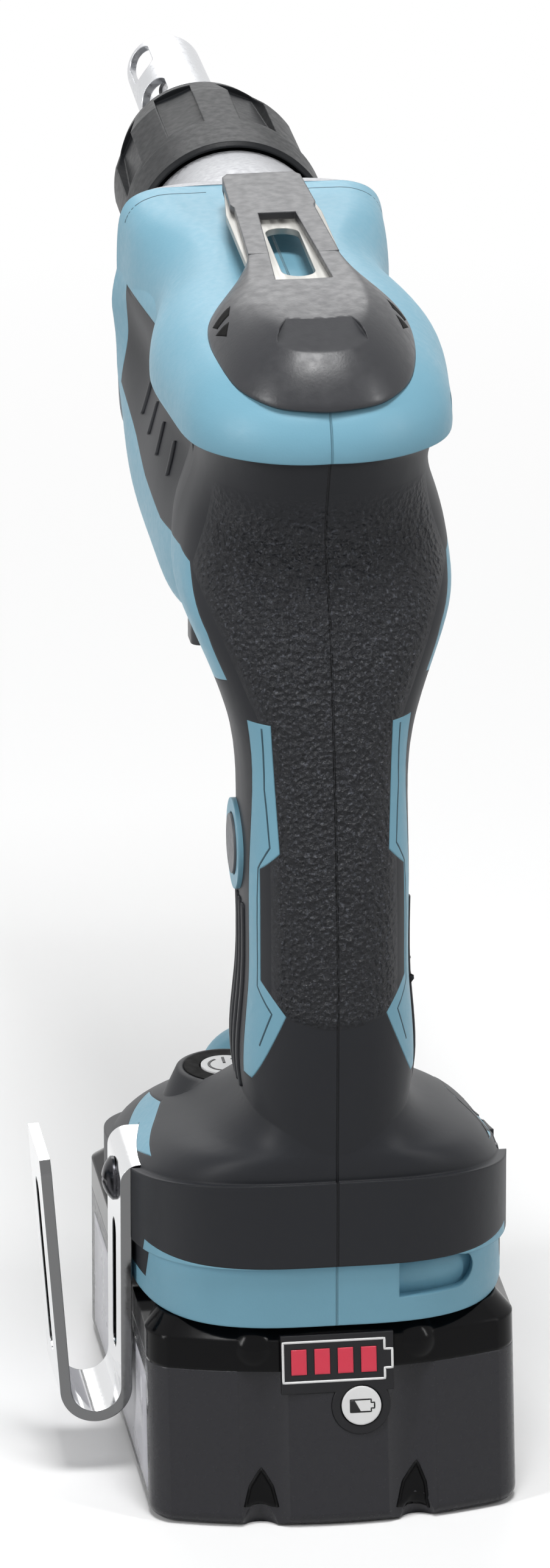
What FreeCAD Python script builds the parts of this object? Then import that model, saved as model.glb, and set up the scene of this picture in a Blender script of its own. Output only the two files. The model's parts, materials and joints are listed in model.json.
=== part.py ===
import FreeCAD, Part
import math
import os
import re
import Sketcher

# Cordless drywall screwdriver. X is to the user's right, Y forward along the spindle, Z up.
# The origin lies on the battery's bottom face, which the tool stands on. Sizes are in millimetres.

V = FreeCAD.Vector
UP = V(0, 0, 1)
FORWARD = V(0, 1, 0)
RIGHT = V(1, 0, 0)

DIMENSIONS = {
    # Battery
    "battery_front": 50,
    "battery_length": 115,
    "battery_width": 76.4,
    "battery_lean": 7,
    "battery_wall": 2.2,
    "case_height": 33,
    "cover_height": 9.4,
    "tongue_width": 54,
    "tongue_height": 8,
    "tongue_lip": 4,
    "neck_height": 3,
    "slide_gap": 0.3,
    "cell_radius": 9.1,
    "cell_length": 65,
    "cell_pitch": 18.3,
    "gauge_width": 23.4,
    "gauge_height": 12.4,
    "check_radius": 4.1,
    "check_offset": 4.8,
    "latch_width": 30,
    "latch_travel": 4,
    # Base of the tool
    "base_rear": -60,
    "base_front": 44,
    "base_width": 80,
    "band_height": 13.6,
    "bumper_height": 18.7,
    "base_fall": 0.22,
    "lamp_radius": 4,
    # Handle and casing
    "handle_rear": -59.5,
    "handle_front": -14.5,
    "handle_width": 34.4,
    "web_rear": -40.4,
    "hip_width": 56,
    "front_reach": 26,
    "axis_height": 225,
    "rim_rise": 3,
    "rim_rear": -50,
    "rim_half": 30,
    "waist_half": 24.5,
    "front_half": 28,
    "cap_rise": 18.2,
    "barrel_drop": 44,
    "housing_front": 75,
    "skin": 1.6,
    "wall": 3.3,
    "screw_radius": 1.6,
    "screw_head_radius": 3,
    # Belt clip on top
    "clip_front": 60,
    "clip_half": 10,
    "clip_gap": 4.4,
    "clip_steel": 1.4,
    "clip_skin": 1.6,
    # Hook on the base
    "hook_width": 22,
    "hook_steel": 2.3,
    "hook_gap": 10.5,
    "hook_middle": -20,
    "hook_low": 13,
    "hook_tall": 76,
    "hook_screw_height": 62,
    "hook_thread_radius": 2,
    # Motor
    "rear_bearing_place": -32,
    "bearing_width": 6,
    "bearing_radius": 9.5,
    "shaft_radius": 4,
    "fan_place": -22,
    "fan_length": 10,
    "fan_radius": 18.5,
    "stator_place": 2,
    "stator_length": 36,
    "stator_radius": 20.5,
    "stator_bore": 11.6,
    "coil_overhang": 8,
    "rotor_radius": 11,
    "magnet_thickness": 2.2,
    # Gears and clutch
    "gear_module": 0.75,
    "pinion_teeth": 8,
    "gear_teeth": 43,
    "gear_face": 8,
    "gear_place": 5,
    "dog_height": 2.2,
    "clutch_gap": 3,
    "bracket_thickness": 9,
    "journal_radius": 4,
    "spindle_radius": 6,
    "cam_radius": 12,
    "bush_length": 16,
    "bush_wall": 2.4,
    "running_gap": 0.05,
    # Nose
    "flange_thickness": 3,
    "dome_radius": 21.5,
    "dome_length": 25,
    "spigot_radius": 15.5,
    "spigot_length": 47,
    "sleeve_radius": 21.2,
    "sleeve_front_radius": 17.2,
    "sleeve_length": 59,
    "thread_radius": 10.1,
    "locator_radius": 8.6,
    "locator_bore": 6.7,
    "locator_reach": 57,
    "hex_flats": 6.35,
    "holder_radius": 5.6,
    "holder_length": 60,
    "bit_reach": 26,
    # Controls
    "trigger_width": 17,
    "trigger_height": 30,
    "trigger_low": 141,
    "trigger_reach": 20,
    "trigger_travel": 6,
    "switch_width": 21,
    "switch_depth": 25.5,
    "switch_height": 36,
    "lever_half": 23,
    "lever_height": 4.4,
    "lock_height": 140,
    "lock_back": -32,
    "lock_radius": 6.2,
    "lock_ring_radius": 9.4,
    "mode_radius": 5,
    "mode_ring_radius": 8.6,
}

doc = FreeCAD.newDocument("drywall_screwdriver")
sheet = doc.addObject("Spreadsheet::Sheet", "dims")
for row, (name, number) in enumerate(DIMENSIONS.items(), start=1):
    sheet.set(f"A{row}", name)
    sheet.set(f"B{row}", str(number))
    sheet.setAlias(f"B{row}", name)
doc.recompute()

# Places that several pieces share, worked out from the driving dimensions
BATTERY_REAR = "(battery_front - battery_length)"
COVER_TOP = "(case_height + cover_height)"
BASE_BOTTOM = f"({COVER_TOP} + slide_gap)"
BUMPER_BOTTOM = f"({BASE_BOTTOM} + band_height)"
BUMPER_TOP = f"({BUMPER_BOTTOM} + bumper_height)"
RIM = "(axis_height + rim_rise)"
CAP_TOP = f"({RIM} + cap_rise)"
CLIP_UNDER = f"({CAP_TOP} + clip_gap)"
GEAR_CENTRES = "(gear_module * (pinion_teeth + gear_teeth) / 2)"
MOTOR_HEIGHT = f"(axis_height - {GEAR_CENTRES})"
FLANGE = "(housing_front + flange_thickness)"
GEAR_REAR = "(housing_front + gear_place)"
GEAR_FRONT = f"({GEAR_REAR} + gear_face)"
DOG_TIP = f"({GEAR_FRONT} + dog_height)"
CAM_TIP = f"({DOG_TIP} + clutch_gap)"
CAM_REAR = f"({CAM_TIP} + dog_height)"
CAM_LENGTH = "4.6"
CAM_FRONT = f"({CAM_REAR} + {CAM_LENGTH})"
THRUST_LENGTH = "1.5"
SHOULDER = f"({CAM_FRONT} + {THRUST_LENGTH} + running_gap)"
SPIGOT_REAR = f"({FLANGE} + dome_length)"
SPIGOT_FRONT = f"({SPIGOT_REAR} + spigot_length)"
SLEEVE_REAR = SPIGOT_REAR
SLEEVE_FRONT = f"({SLEEVE_REAR} + sleeve_length)"
NOSE_TIP = f"({SLEEVE_FRONT} + locator_reach)"
BUSH_REAR = f"({SHOULDER} + 4)"
BUSH_FRONT = f"({BUSH_REAR} + bush_length)"
SPINDLE_FRONT = f"({BUSH_FRONT} + 4)"
BRACKET_REAR = "(housing_front - bracket_thickness)"

TURNED = {
    "x": FreeCAD.Rotation(FORWARD, 90),
    "y": FreeCAD.Rotation(RIGHT, -90),
    "z": FreeCAD.Rotation(),
}
nodes = {}


def bound(text):
    """The expression for a size: every driving dimension gets the sheet's name before it."""
    return re.sub(r"[a-z]\w*", lambda word: "dims." * (word.group() in DIMENSIONS) + word.group(), text)


def value(text):
    """The number that an expression comes to now."""
    return float(sheet.evalExpression(bound(text)))


def place(thing, x="0", y="0", z="0", along="z"):
    """Put a piece at a place bound to the sheet, its own Z axis turned along X, Y or Z."""
    thing.Placement = FreeCAD.Placement(V(), TURNED[along])
    for axis, text in zip("xyz", (x, y, z)):
        thing.setExpression("Placement.Base." + axis, bound(text))
    return thing


def rod(name, radius, length, x="0", y="0", z="0", along="z"):
    thing = doc.addObject("Part::Cylinder", name)
    thing.setExpression("Radius", bound(radius))
    thing.setExpression("Height", bound(length))
    return place(thing, x, y, z, along)


def block(name, width, depth, height, x="0", y="0", z="0"):
    """A box whose middle is at x, with its rear face at y and its bottom at z."""
    thing = doc.addObject("Part::Box", name)
    thing.setExpression("Length", bound(width))
    thing.setExpression("Width", bound(depth))
    thing.setExpression("Height", bound(height))
    return place(thing, f"{x} - ({width}) / 2", y, z)


def fuse(name, *pieces):
    thing = doc.addObject("Part::MultiFuse", name)
    thing.Shapes = list(pieces)
    return thing


def cut(name, base, *tools):
    thing = doc.addObject("Part::Cut", name)
    thing.Base = base
    thing.Tool = tools[0] if len(tools) == 1 else fuse(name + "_removed", *tools)
    return thing


def solid(name, shape):
    thing = doc.addObject("Part::Feature", name)
    thing.Shape = shape
    return thing


def node(name, thing):
    """Name a finished piece and list it for export."""
    thing.Label = name
    nodes[name] = thing
    return thing


def plane_of(body, role):
    return next(feature for feature in body.Origin.OriginFeatures if feature.Role == role)


def outline(body, name, role, corners):
    """A closed sketch on an origin plane, each corner held by two distances bound to the sheet."""
    sketch = body.newObject("Sketcher::SketchObject", name)
    sketch.AttachmentSupport = (plane_of(body, role), [""])
    sketch.MapMode = "FlatFace"
    spots = [V(value(across), value(up), 0) for across, up in corners]
    for start, end in zip(spots, spots[1:] + spots[:1]):
        sketch.addGeometry(Part.LineSegment(start, end), False)
    for index in range(len(spots)):
        following = (index + 1) % len(spots)
        sketch.addConstraint(Sketcher.Constraint("Coincident", index, 2, following, 1))
    for index, (corner, spot) in enumerate(zip(corners, spots)):
        for kind, text, size in (("DistanceX", corner[0], spot.x), ("DistanceY", corner[1], spot.y)):
            held = sketch.addConstraint(Sketcher.Constraint(kind, -1, 1, index, 1, size))
            sketch.setExpression(f"Constraints[{held}]", bound(text))
    return sketch


def turned(name, corners, height="axis_height", x="0"):
    """A turned piece: corners are (place along Y, radius) and it turns about the line at that height."""
    body = doc.addObject("PartDesign::Body", name)
    sketch = outline(body, name + "_profile", "YZ_Plane", corners)
    turn = body.newObject("PartDesign::Revolution", name + "_turn")
    turn.Profile = sketch
    turn.ReferenceAxis = (sketch, ["H_Axis"])
    turn.Angle = 360
    return place(body, x, "0", height)


# Curved forms of the casing

def ring_curve(points):
    curve = Part.BSplineCurve()
    curve.interpolate(points, PeriodicFlag=True)
    return Part.Wire(curve.toShape())


def both_sides(half):
    """A closed run of points from its right half, whose first and last lie on the middle plane."""
    return half + [V(-point.x, point.y, point.z) for point in reversed(half[1:-1])]


def oval(height, rear, front, half_width, power=2.6, count=20, fall=0):
    """Plan outline of a rounded form: its corners are fuller as the power grows, and it may fall forward."""
    middle = (rear + front) / 2
    reach = (front - rear) / 2
    points = []
    for index in range(count):
        angle = 2 * math.pi * index / count
        across, along = math.cos(angle), math.sin(angle)
        spot_x = half_width * math.copysign(abs(across) ** (2 / power), across)
        spot_y = middle + reach * math.copysign(abs(along) ** (2 / power), along)
        points.append(V(spot_x, spot_y, height - fall * (spot_y - rear)))
    return ring_curve(points)


def between(start, end, share):
    return start + (end - start) * share


# Share of the handle's height, of the way from heel to web, from grip to hip width, and from grip to barrel
HANDLE_STATIONS = (
    (0.00, 0.06, 0.40, 0.10),
    (0.11, 0.01, 0.06, 0.00),
    (0.25, 0.00, 0.00, 0.00),
    (0.39, 0.06, 0.00, 0.00),
    (0.49, 0.18, 0.00, 0.04),
    (0.59, 0.32, 0.10, 0.10),
    (0.65, 0.40, 0.35, 0.21),
    (0.71, 0.50, 0.70, 0.40),
    (0.77, 0.68, 1.00, 0.71),
    (0.82, 0.86, 1.00, 0.94),
    (0.87, 1.00, 0.88, 1.00),
    (0.92, 0.93, 0.66, 1.00),
    (0.97, 0.76, 0.63, 1.00),
    (1.00, 0.58, 0.80, 1.00),
)

# Height above the bumper, and share of the way from the base's outline to the handle's
SHOULDER_STATIONS = ((-0.6, 0.0), (3.6, 0.17), (5.8, 0.46), (8, 0.74), (12, 0.92), (19, 1.0))

# How far the shoulder's top runs into the handle
SHOULDER_SINK = 1.0

# Place along the barrel, then rise of its bottom, and half widths of side panel, finger groove and top
BARREL_STATIONS = (
    (-89, 0, 27.5, 23.8, 24.3),
    (-67, -1, 29.0, 24.0, 24.3),
    (-43, 0, 29.2, 24.3, 24.3),
    (-23, 2, 29.0, 24.6, 26.4),
    (-11, 4, 28.3, 26.6, 27.6),
    (15, 7, 28.0, 28.0, 28.0),
)

# Height over the rim, and what the rear, hip, waist and front lose there
CAP_STATIONS = (
    (0.0, 0.0, 0.0, 0.0, 0.0),
    (5.0, 0.7, 0.2, 0.2, 0.0),
    (10.0, 4.0, 2.0, 1.7, 0.3),
    (14.0, 10.0, 5.5, 4.5, 1.3),
    (17.0, 20.0, 11.0, 8.5, 4.5),
    (18.2, 30.0, 18.0, 13.5, 10.0),
)
CAP_STATION_RISE = CAP_STATIONS[-1][0]


def handle_form(inset):
    low = value(BUMPER_TOP)
    tall = value(RIM) - low
    heel, web = value("handle_rear"), value("web_rear")
    grip, hip = value("handle_width / 2"), value("hip_width / 2")
    rings = []
    for height, back, wide, ahead in HANDLE_STATIONS:
        front = value("handle_front") + value("front_reach") * ahead
        rings.append(oval(low + tall * height, between(heel, web, back) + inset, front - inset,
                          between(grip, hip, wide) - inset))
    return Part.makeLoft(rings, True, False)


def shoulder_form(inset):
    rings = []
    for rise, share in SHOULDER_STATIONS:
        inset_here = inset + SHOULDER_SINK * share
        rear = between(value("base_rear + 1"), value("handle_rear"), share)
        front = between(value("base_front - 1"), value("handle_front"), share)
        half = between(value("base_width / 2 - 1.5"), value("handle_width / 2"), share)
        rings.append(oval(value(BUMPER_TOP) + rise - inset, rear + inset_here, front - inset_here,
                          half - inset_here, between(3.2, 2.6, share), fall=value("base_fall") * (1 - share)))
    return Part.makeLoft(rings, True, False)


def base_form(inset, low, high, step, low_fall=0, high_fall=0):
    """A level of the base; step is how far it stands in from the bumper, and the falls slope it forward."""
    rings = []
    for share in (0, 0.5, 1):
        rings.append(oval(between(low, high, share), value("base_rear") + step + inset,
                          value("base_front") - step - inset, value("base_width / 2") - step - inset, 3.4,
                          fall=between(low_fall, high_fall, share)))
    return Part.makeLoft(rings, True, False)


def barrel_form(inset):
    axis = value("axis_height")
    rings = []
    for along, rise, panel, groove, top in BARREL_STATIONS:
        place_y = value("housing_front") + along
        bottom = axis - value("barrel_drop") + rise + inset
        panel, groove, top = panel - inset, groove - inset, top - inset
        half = [(0, bottom), (0.62 * panel, bottom + 0.8), (0.93 * panel, bottom + 5), (panel, bottom + 12),
                ((panel + groove) / 2 + 0.6, axis - 17), (groove, axis - 8), (top, axis + 1),
                (0.96 * top, axis + 8), (0.6 * top, axis + 15 - inset), (0, axis + 16 - inset)]
        rings.append(ring_curve(both_sides([V(across, place_y, up) for across, up in half])))
    return Part.makeLoft(rings, True, False)


def cap_form(inset):
    """The upper casing: a waisted plan that draws in towards its crown."""
    front = value("housing_front")
    rings = []
    for rise, back, hip_loss, waist_loss, front_loss in CAP_STATIONS:
        rear = value("rim_rear") + back + inset
        hip = value("rim_half") - hip_loss - inset
        waist = value("waist_half") - waist_loss - inset
        nose = value("front_half") - front_loss - inset
        height = value(RIM) + rise * value("cap_rise") / CAP_STATION_RISE - inset
        reach = front - 70 - rear
        half = [(0, rear), (0.5 * hip, rear + 0.055 * reach), (0.82 * hip, rear + 0.22 * reach),
                (0.95 * hip, rear + 0.55 * reach), (hip, rear + reach),
                (between(hip, waist, 0.5), front - 52), (waist, front - 36),
                (between(waist, nose, 0.8), front - 14),
                (nose, front - 3), (nose, front + 12), (0, front + 20)]
        rings.append(ring_curve(both_sides([V(across, along, height) for across, along in half])))
    return Part.makeLoft(rings, True, False)


def side_prism(corners):
    """A prism right across the tool, from an outline seen from its side."""
    reach = 60
    spots = [V(-reach, along, up) for along, up in corners]
    return Part.Face(Part.makePolygon(spots + spots[:1])).extrude(V(2 * reach, 0, 0))


def forward_of(plane):
    return Part.makeBox(200, 200, 400, V(-100, plane, -50))


def cylinder_y(radius, start, end, height, x=0):
    return Part.makeCylinder(radius, end - start, V(x, start, height), FORWARD)


def cylinder_x(radius, start, end, along, height):
    return Part.makeCylinder(radius, end - start, V(start, along, height), RIGHT)


def slab(width, low, high, rear, front, x=0):
    """A box by its width about x, its bottom and top, and its rear and front."""
    return Part.makeBox(width, front - rear, high - low, V(x - width / 2, rear, low))


# Motor

def bearing(name, start, width, bore, radius, height):
    """A ball bearing: two rings in one piece with the shield's grooves in both faces."""
    land = f"(({radius}) - ({bore})) * 0.3"
    end = f"{start} + {width}"
    corners = [(start, bore), (start, f"{bore} + {land}"), (f"{start} + 0.5", f"{bore} + {land}"),
               (f"{start} + 0.5", f"{radius} - {land}"), (start, f"{radius} - {land}"), (start, radius),
               (end, radius), (end, f"{radius} - {land}"), (f"{end} - 0.5", f"{radius} - {land}"),
               (f"{end} - 0.5", f"{bore} + {land}"), (end, f"{bore} + {land}"), (end, bore)]
    return node(name, turned(name, corners, height))


PINION_REAR = f"({GEAR_REAR} - 1)"
PINION_FRONT = f"({GEAR_FRONT} + 1.5)"
FRONT_BEARING_RADIUS = "11"


def make_motor():
    bearing("rear_bearing", "rear_bearing_place", "bearing_width", "(shaft_radius - 0.5)", "bearing_radius",
            MOTOR_HEIGHT)
    bearing("front_bearing", BRACKET_REAR, "7", "shaft_radius", FRONT_BEARING_RADIUS, MOTOR_HEIGHT)
    node("rotor_shaft", turned("rotor_shaft", [
        ("rear_bearing_place - 1", "0"), ("rear_bearing_place - 1", "shaft_radius - 0.5"),
        ("rear_bearing_place + bearing_width", "shaft_radius - 0.5"),
        ("rear_bearing_place + bearing_width", "shaft_radius + 0.6"),
        (f"{BRACKET_REAR}", "shaft_radius + 0.6"), (f"{BRACKET_REAR}", "shaft_radius"),
        (f"{BRACKET_REAR} + 7.5", "shaft_radius"), (f"{BRACKET_REAR} + 7.5", "1.6"),
        (f"{PINION_FRONT}", "1.6"), (f"{PINION_FRONT}", "0")], MOTOR_HEIGHT))
    core = "rotor_radius - magnet_thickness"
    node("rotor_core", turned("rotor_core", [
        ("stator_place", "shaft_radius + 0.6"), ("stator_place", core),
        ("stator_place + stator_length", core), ("stator_place + stator_length", "shaft_radius + 0.6")],
        MOTOR_HEIGHT))
    node("rotor_magnets", solid("rotor_magnets", magnet_shapes()))
    node("cooling_fan", solid("cooling_fan", fan_shape()))
    node("stator_core", solid("stator_core", stator_shape()))
    node("stator_coils", solid("stator_coils", coil_shapes()))
    board = turned("sensor_board_disc", [
        ("stator_place + stator_length + coil_overhang", "rotor_radius - 2"),
        ("stator_place + stator_length + coil_overhang", "stator_radius - 2"),
        ("stator_place + stator_length + coil_overhang + 1.5", "stator_radius - 2"),
        ("stator_place + stator_length + coil_overhang + 1.5", "rotor_radius - 2")], MOTOR_HEIGHT)
    node("sensor_board", board)


MAGNETS = 4
STATOR_TEETH = 6


def sector(inner, outer, start, end, middle_angle, spread):
    """A slice of a tube about the motor's line; angles are in degrees from upright."""
    height = value(MOTOR_HEIGHT)
    tube = Part.makeCylinder(outer, end - start, V(), UP, spread)
    tube = tube.cut(Part.makeCylinder(inner, end - start, V(), UP))
    tube.rotate(V(), UP, middle_angle - spread / 2)
    tube.rotate(V(), RIGHT, -90)
    tube.translate(V(0, start, height))
    return tube


def magnet_shapes():
    start = value("stator_place")
    end = start + value("stator_length")
    outer = value("rotor_radius")
    inner = outer - value("magnet_thickness")
    spread = 360 / MAGNETS - 6
    return Part.makeCompound([sector(inner, outer, start, end, index * 360 / MAGNETS, spread)
                              for index in range(MAGNETS)])


def fan_shape():
    """A hub and back plate with straight blades, each a little slanted."""
    start = value("fan_place")
    end = start + value("fan_length")
    height = value(MOTOR_HEIGHT)
    radius = value("fan_radius")
    bore = value("shaft_radius + 0.6")
    hub = cylinder_y(bore + 3, start, end, height)
    plate = cylinder_y(radius, end - 2, end, height)
    blades = []
    blade_count = 11
    for index in range(blade_count):
        blade = slab(1.4, height + bore + 2, height + radius, start, end)
        blade.rotate(V(0, start, height), FORWARD, index * 360 / blade_count)
        blades.append(blade)
    shape = hub.fuse([plate] + blades).common(cylinder_y(radius, start, end, height))
    return shape.cut(cylinder_y(bore, start - 1, end + 1, height)).removeSplitter()


def stator_tooth(inner, outer, width, start, end, angle):
    height = value(MOTOR_HEIGHT)
    tooth = slab(width, height + inner, height + outer, start, end)
    tooth.rotate(V(0, start, height), FORWARD, angle)
    return tooth


def stator_shape():
    """Laminated ring with six teeth, each with a wide shoe at its inner end."""
    start = value("stator_place")
    end = start + value("stator_length")
    height = value(MOTOR_HEIGHT)
    outer, bore = value("stator_radius"), value("stator_bore")
    yoke = cylinder_y(outer, start, end, height).cut(cylinder_y(outer - 3, start, end, height))
    pieces = []
    for index in range(STATOR_TEETH):
        angle = index * 360 / STATOR_TEETH
        pieces.append(stator_tooth(bore + 0.4, outer - 1, 5, start, end, angle))
        pieces.append(sector(bore, bore + 1.6, start, end, angle - 90, 48))
    return yoke.fuse(pieces).cut(cylinder_y(bore, start - 1, end + 1, height)).removeSplitter()


def coil_shapes():
    """One winding round each tooth, standing out of both ends of the stack."""
    start = value("stator_place")
    end = start + value("stator_length")
    over = value("coil_overhang")
    outer, bore = value("stator_radius"), value("stator_bore")
    coils = []
    for index in range(STATOR_TEETH):
        angle = index * 360 / STATOR_TEETH
        coil = stator_tooth(bore + 2.2, outer - 3.6, 8, start - over, end + over, angle)
        coil = coil.makeFillet(1.2, [edge for edge in coil.Edges])
        coils.append(coil.cut(stator_tooth(bore, outer, 5.1, start - 0.05, end + 0.05, angle)))
    return Part.makeCompound(coils)


# Gears and clutch

PRESSURE_ANGLE = math.radians(25)
TOOTH_SHIFT = 0.3
TIP_SHARE = 0.8
ROOT_SHARE = 1.05
BACKLASH = 0.14


def gear_outline(teeth, module, shift):
    """Closed outline of a spur gear about its own origin, a tooth's middle on its Y axis."""
    pitch = teeth * module / 2
    base = pitch * math.cos(PRESSURE_ANGLE)
    tip = pitch + module * (TIP_SHARE + shift)
    root = pitch - module * (ROOT_SHARE - shift)
    thick = module * (math.pi / 2 + 2 * shift * math.tan(PRESSURE_ANGLE)) - BACKLASH
    roll = math.tan(PRESSURE_ANGLE) - PRESSURE_ANGLE
    half_at_base = thick / (2 * pitch) + roll

    def flank_angle(radius):
        spread = math.acos(min(1, base / radius))
        return half_at_base - (math.tan(spread) - spread)

    def spot(radius, angle):
        return V(radius * math.sin(angle), radius * math.cos(angle), 0)

    low = max(root + 0.02 * module, base)
    edges = []
    step = 2 * math.pi / teeth
    for index in range(teeth):
        middle = index * step
        radii = (low, (low + tip) / 2, tip)
        rising = [spot(radius, middle - flank_angle(radius)) for radius in radii]
        falling = [spot(radius, middle + flank_angle(radius)) for radius in reversed(radii)]
        foot_start = spot(root, middle - half_at_base)
        foot_end = spot(root, middle + half_at_base)
        gap_end = spot(root, middle + step - half_at_base)
        edges.append(Part.LineSegment(foot_start, rising[0]).toShape())
        edges.append(Part.Arc(*rising).toShape())
        edges.append(Part.Arc(rising[2], spot(tip, middle), falling[0]).toShape())
        edges.append(Part.Arc(*falling).toShape())
        edges.append(Part.LineSegment(falling[2], foot_end).toShape())
        edges.append(Part.Arc(foot_end, spot(root, middle + step / 2), gap_end).toShape())
    return Part.Wire(edges)


def gear_solid(teeth, module, shift, start, length, height, turn):
    """A spur gear along Y at a height, turned about its line by an angle in degrees."""
    shape = Part.Face(gear_outline(teeth, module, shift)).extrude(V(0, 0, length))
    shape.rotate(V(), UP, turn)
    shape.rotate(V(), RIGHT, -90)
    shape.translate(V(0, start, height))
    return shape


DOGS = 3


def dog_shapes(start, end, offset):
    """Clutch dogs: slices of a ring about the spindle line."""
    height = value("axis_height")
    inner, outer = value("cam_radius") - 4.5, value("cam_radius") - 0.3
    dogs = []
    for index in range(DOGS):
        slice_angle = 44
        dog = Part.makeCylinder(outer, end - start, V(), UP, slice_angle)
        dog = dog.cut(Part.makeCylinder(inner, end - start, V(), UP))
        dog.rotate(V(), UP, offset + index * 360 / DOGS)
        dog.rotate(V(), RIGHT, -90)
        dog.translate(V(0, start, height))
        dogs.append(dog)
    return dogs


SPRING_SEAT = 1.2
WEB_DEPTH = 1.6


def make_gears():
    module, small, large = value("gear_module"), round(value("pinion_teeth")), round(value("gear_teeth"))
    low, high = value(MOTOR_HEIGHT), value("axis_height")
    start, end = value(PINION_REAR), value(PINION_FRONT)
    pinion = gear_solid(small, module, TOOTH_SHIFT, start, end - start, low, 0)
    shaft_hole = cylinder_y(1.6, start - 1, end + 1, low)
    node("motor_pinion", solid("motor_pinion", pinion.cut(shaft_hole)))

    # Half a step of turn puts a gap at the gear's lowest point, where the pinion's upper tooth lies
    half_step = 180 / large
    teeth = gear_solid(large, module, -TOOTH_SHIFT, value(GEAR_REAR), value("gear_face"), high, half_step)
    dogs = dog_shapes(value(GEAR_FRONT) - 1, value(DOG_TIP), 0)
    bore = cylinder_y(value("journal_radius + running_gap"), value(GEAR_REAR) - 1, value(DOG_TIP) + 1, high)
    seat = cylinder_y(value("cam_radius - 4.7"), value(GEAR_FRONT) - SPRING_SEAT, value(DOG_TIP) + 1, high)
    web_rear, web_end = value(GEAR_REAR) - 1, value(GEAR_REAR) + WEB_DEPTH
    lighten = cylinder_y(value("cam_radius + 2.4"), web_rear, web_end, high)
    lighten = lighten.cut(cylinder_y(value("journal_radius + 4"), web_rear, web_end, high))
    node("drive_gear", solid("drive_gear", teeth.fuse(dogs).cut([bore, seat, lighten]).removeSplitter()))

    bore = "journal_radius + 1"
    cam = turned("cam_disc", [(CAM_REAR, bore), (CAM_REAR, "cam_radius"), (CAM_FRONT, "cam_radius"),
                              (CAM_FRONT, bore)])
    doc.recompute()
    cam_dogs = dog_shapes(value(CAM_TIP), value(CAM_REAR) + 1, 60)
    seat = cylinder_y(value("cam_radius - 4.7"), value(CAM_TIP), value(CAM_REAR) + SPRING_SEAT, high)
    seat = seat.cut(cylinder_y(value(bore), value(CAM_TIP) - 1, value(CAM_FRONT), high))
    node("driven_cam", solid("driven_cam", cam.Shape.fuse(cam_dogs).cut(seat).removeSplitter()))


def spring_shape(radius, wire, start, end, turns, height, x=0):
    """A coil spring along Y: one round wire on a helix, with a little room at both ends."""
    length = end - start - wire
    helix = Part.makeHelix(length / turns, length, radius)
    ring = Part.Wire(Part.makeCircle(wire / 2, V(radius, 0, 0), FORWARD))
    coil = Part.Wire(helix.Edges).makePipeShell([ring], True, True)
    coil.rotate(V(), RIGHT, -90)
    coil.translate(V(x, start + wire / 2, height))
    return coil


HEX_DEPTH = 24


def hexagon(flats, start, length, height):
    corners = [V(flats / math.sqrt(3) * math.cos(math.radians(60 * index)),
                 flats / math.sqrt(3) * math.sin(math.radians(60 * index)), 0) for index in range(7)]
    shape = Part.Face(Part.makePolygon(corners)).extrude(V(0, 0, length))
    shape.rotate(V(), RIGHT, -90)
    shape.translate(V(0, start, height))
    return shape


HOLDER_REAR = f"({SPINDLE_FRONT} + 0.6)"
HOLDER_FRONT = f"({HOLDER_REAR} + holder_length)"
BIT_REAR = f"({HOLDER_FRONT} - 13)"
BIT_TIP = f"({HOLDER_FRONT} + bit_reach)"


def make_spindle():
    high = value("axis_height")
    blank = turned("spindle_blank", [
        (f"{BRACKET_REAR} + 4", "0"), (f"{BRACKET_REAR} + 4", "journal_radius"), (CAM_REAR, "journal_radius"),
        (CAM_REAR, "journal_radius + 1"), (CAM_FRONT, "journal_radius + 1"),
        (CAM_FRONT, "spindle_radius"), (SPINDLE_FRONT, "spindle_radius"), (SPINDLE_FRONT, "0")])
    doc.recompute()
    front = value(SPINDLE_FRONT)
    socket = hexagon(value("hex_flats + 0.1"), front - HEX_DEPTH, HEX_DEPTH + 1, high)
    node("spindle", solid("spindle", blank.Shape.cut(socket)))
    node("thrust_ring", turned("thrust_ring", [
        (CAM_FRONT, "spindle_radius + running_gap"), (CAM_FRONT, "cam_radius - 1"),
        (f"{CAM_FRONT} + {THRUST_LENGTH}", "cam_radius - 1"),
        (f"{CAM_FRONT} + {THRUST_LENGTH}", "spindle_radius + running_gap")]))
    coil = spring_shape(value("journal_radius + 2"), 1.2, value(GEAR_FRONT) - SPRING_SEAT + 0.1,
                        value(CAM_REAR) + SPRING_SEAT - 0.1, 4, high)
    node("clutch_spring", solid("clutch_spring", coil))

    # Bit holder: hexagon shank in the spindle, round nose with a hexagon socket and a magnet at its floor
    rear, tip = value(HOLDER_REAR), value(HOLDER_FRONT)
    shank = hexagon(value("hex_flats"), front - HEX_DEPTH + 0.3, rear - front + HEX_DEPTH, high)
    collar = turned("holder_collar", [
        (HOLDER_REAR, "0"), (HOLDER_REAR, "holder_radius - 0.8"), (f"{HOLDER_REAR} + 0.8", "holder_radius"),
        (f"{HOLDER_FRONT} - 20", "holder_radius"), (f"{HOLDER_FRONT} - 18", "holder_radius - 0.5"),
        (f"{HOLDER_FRONT} - 1", "holder_radius - 0.5"), (HOLDER_FRONT, "holder_radius - 1.4"),
        (HOLDER_FRONT, "0")])
    doc.recompute()
    socket = hexagon(value("hex_flats + 0.1"), value(BIT_REAR), tip, high)
    magnet_seat = cylinder_y(2.6, value(BIT_REAR) - 4, value(BIT_REAR) + 1, high)
    node("bit_holder", solid("bit_holder", collar.Shape.fuse(shank).cut([socket, magnet_seat])))
    node("holder_magnet", rod("holder_magnet", "2.6", "4", y=f"{BIT_REAR} - 4", z="axis_height", along="y"))
    node("screw_bit", solid("screw_bit", bit_shape()))


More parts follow.
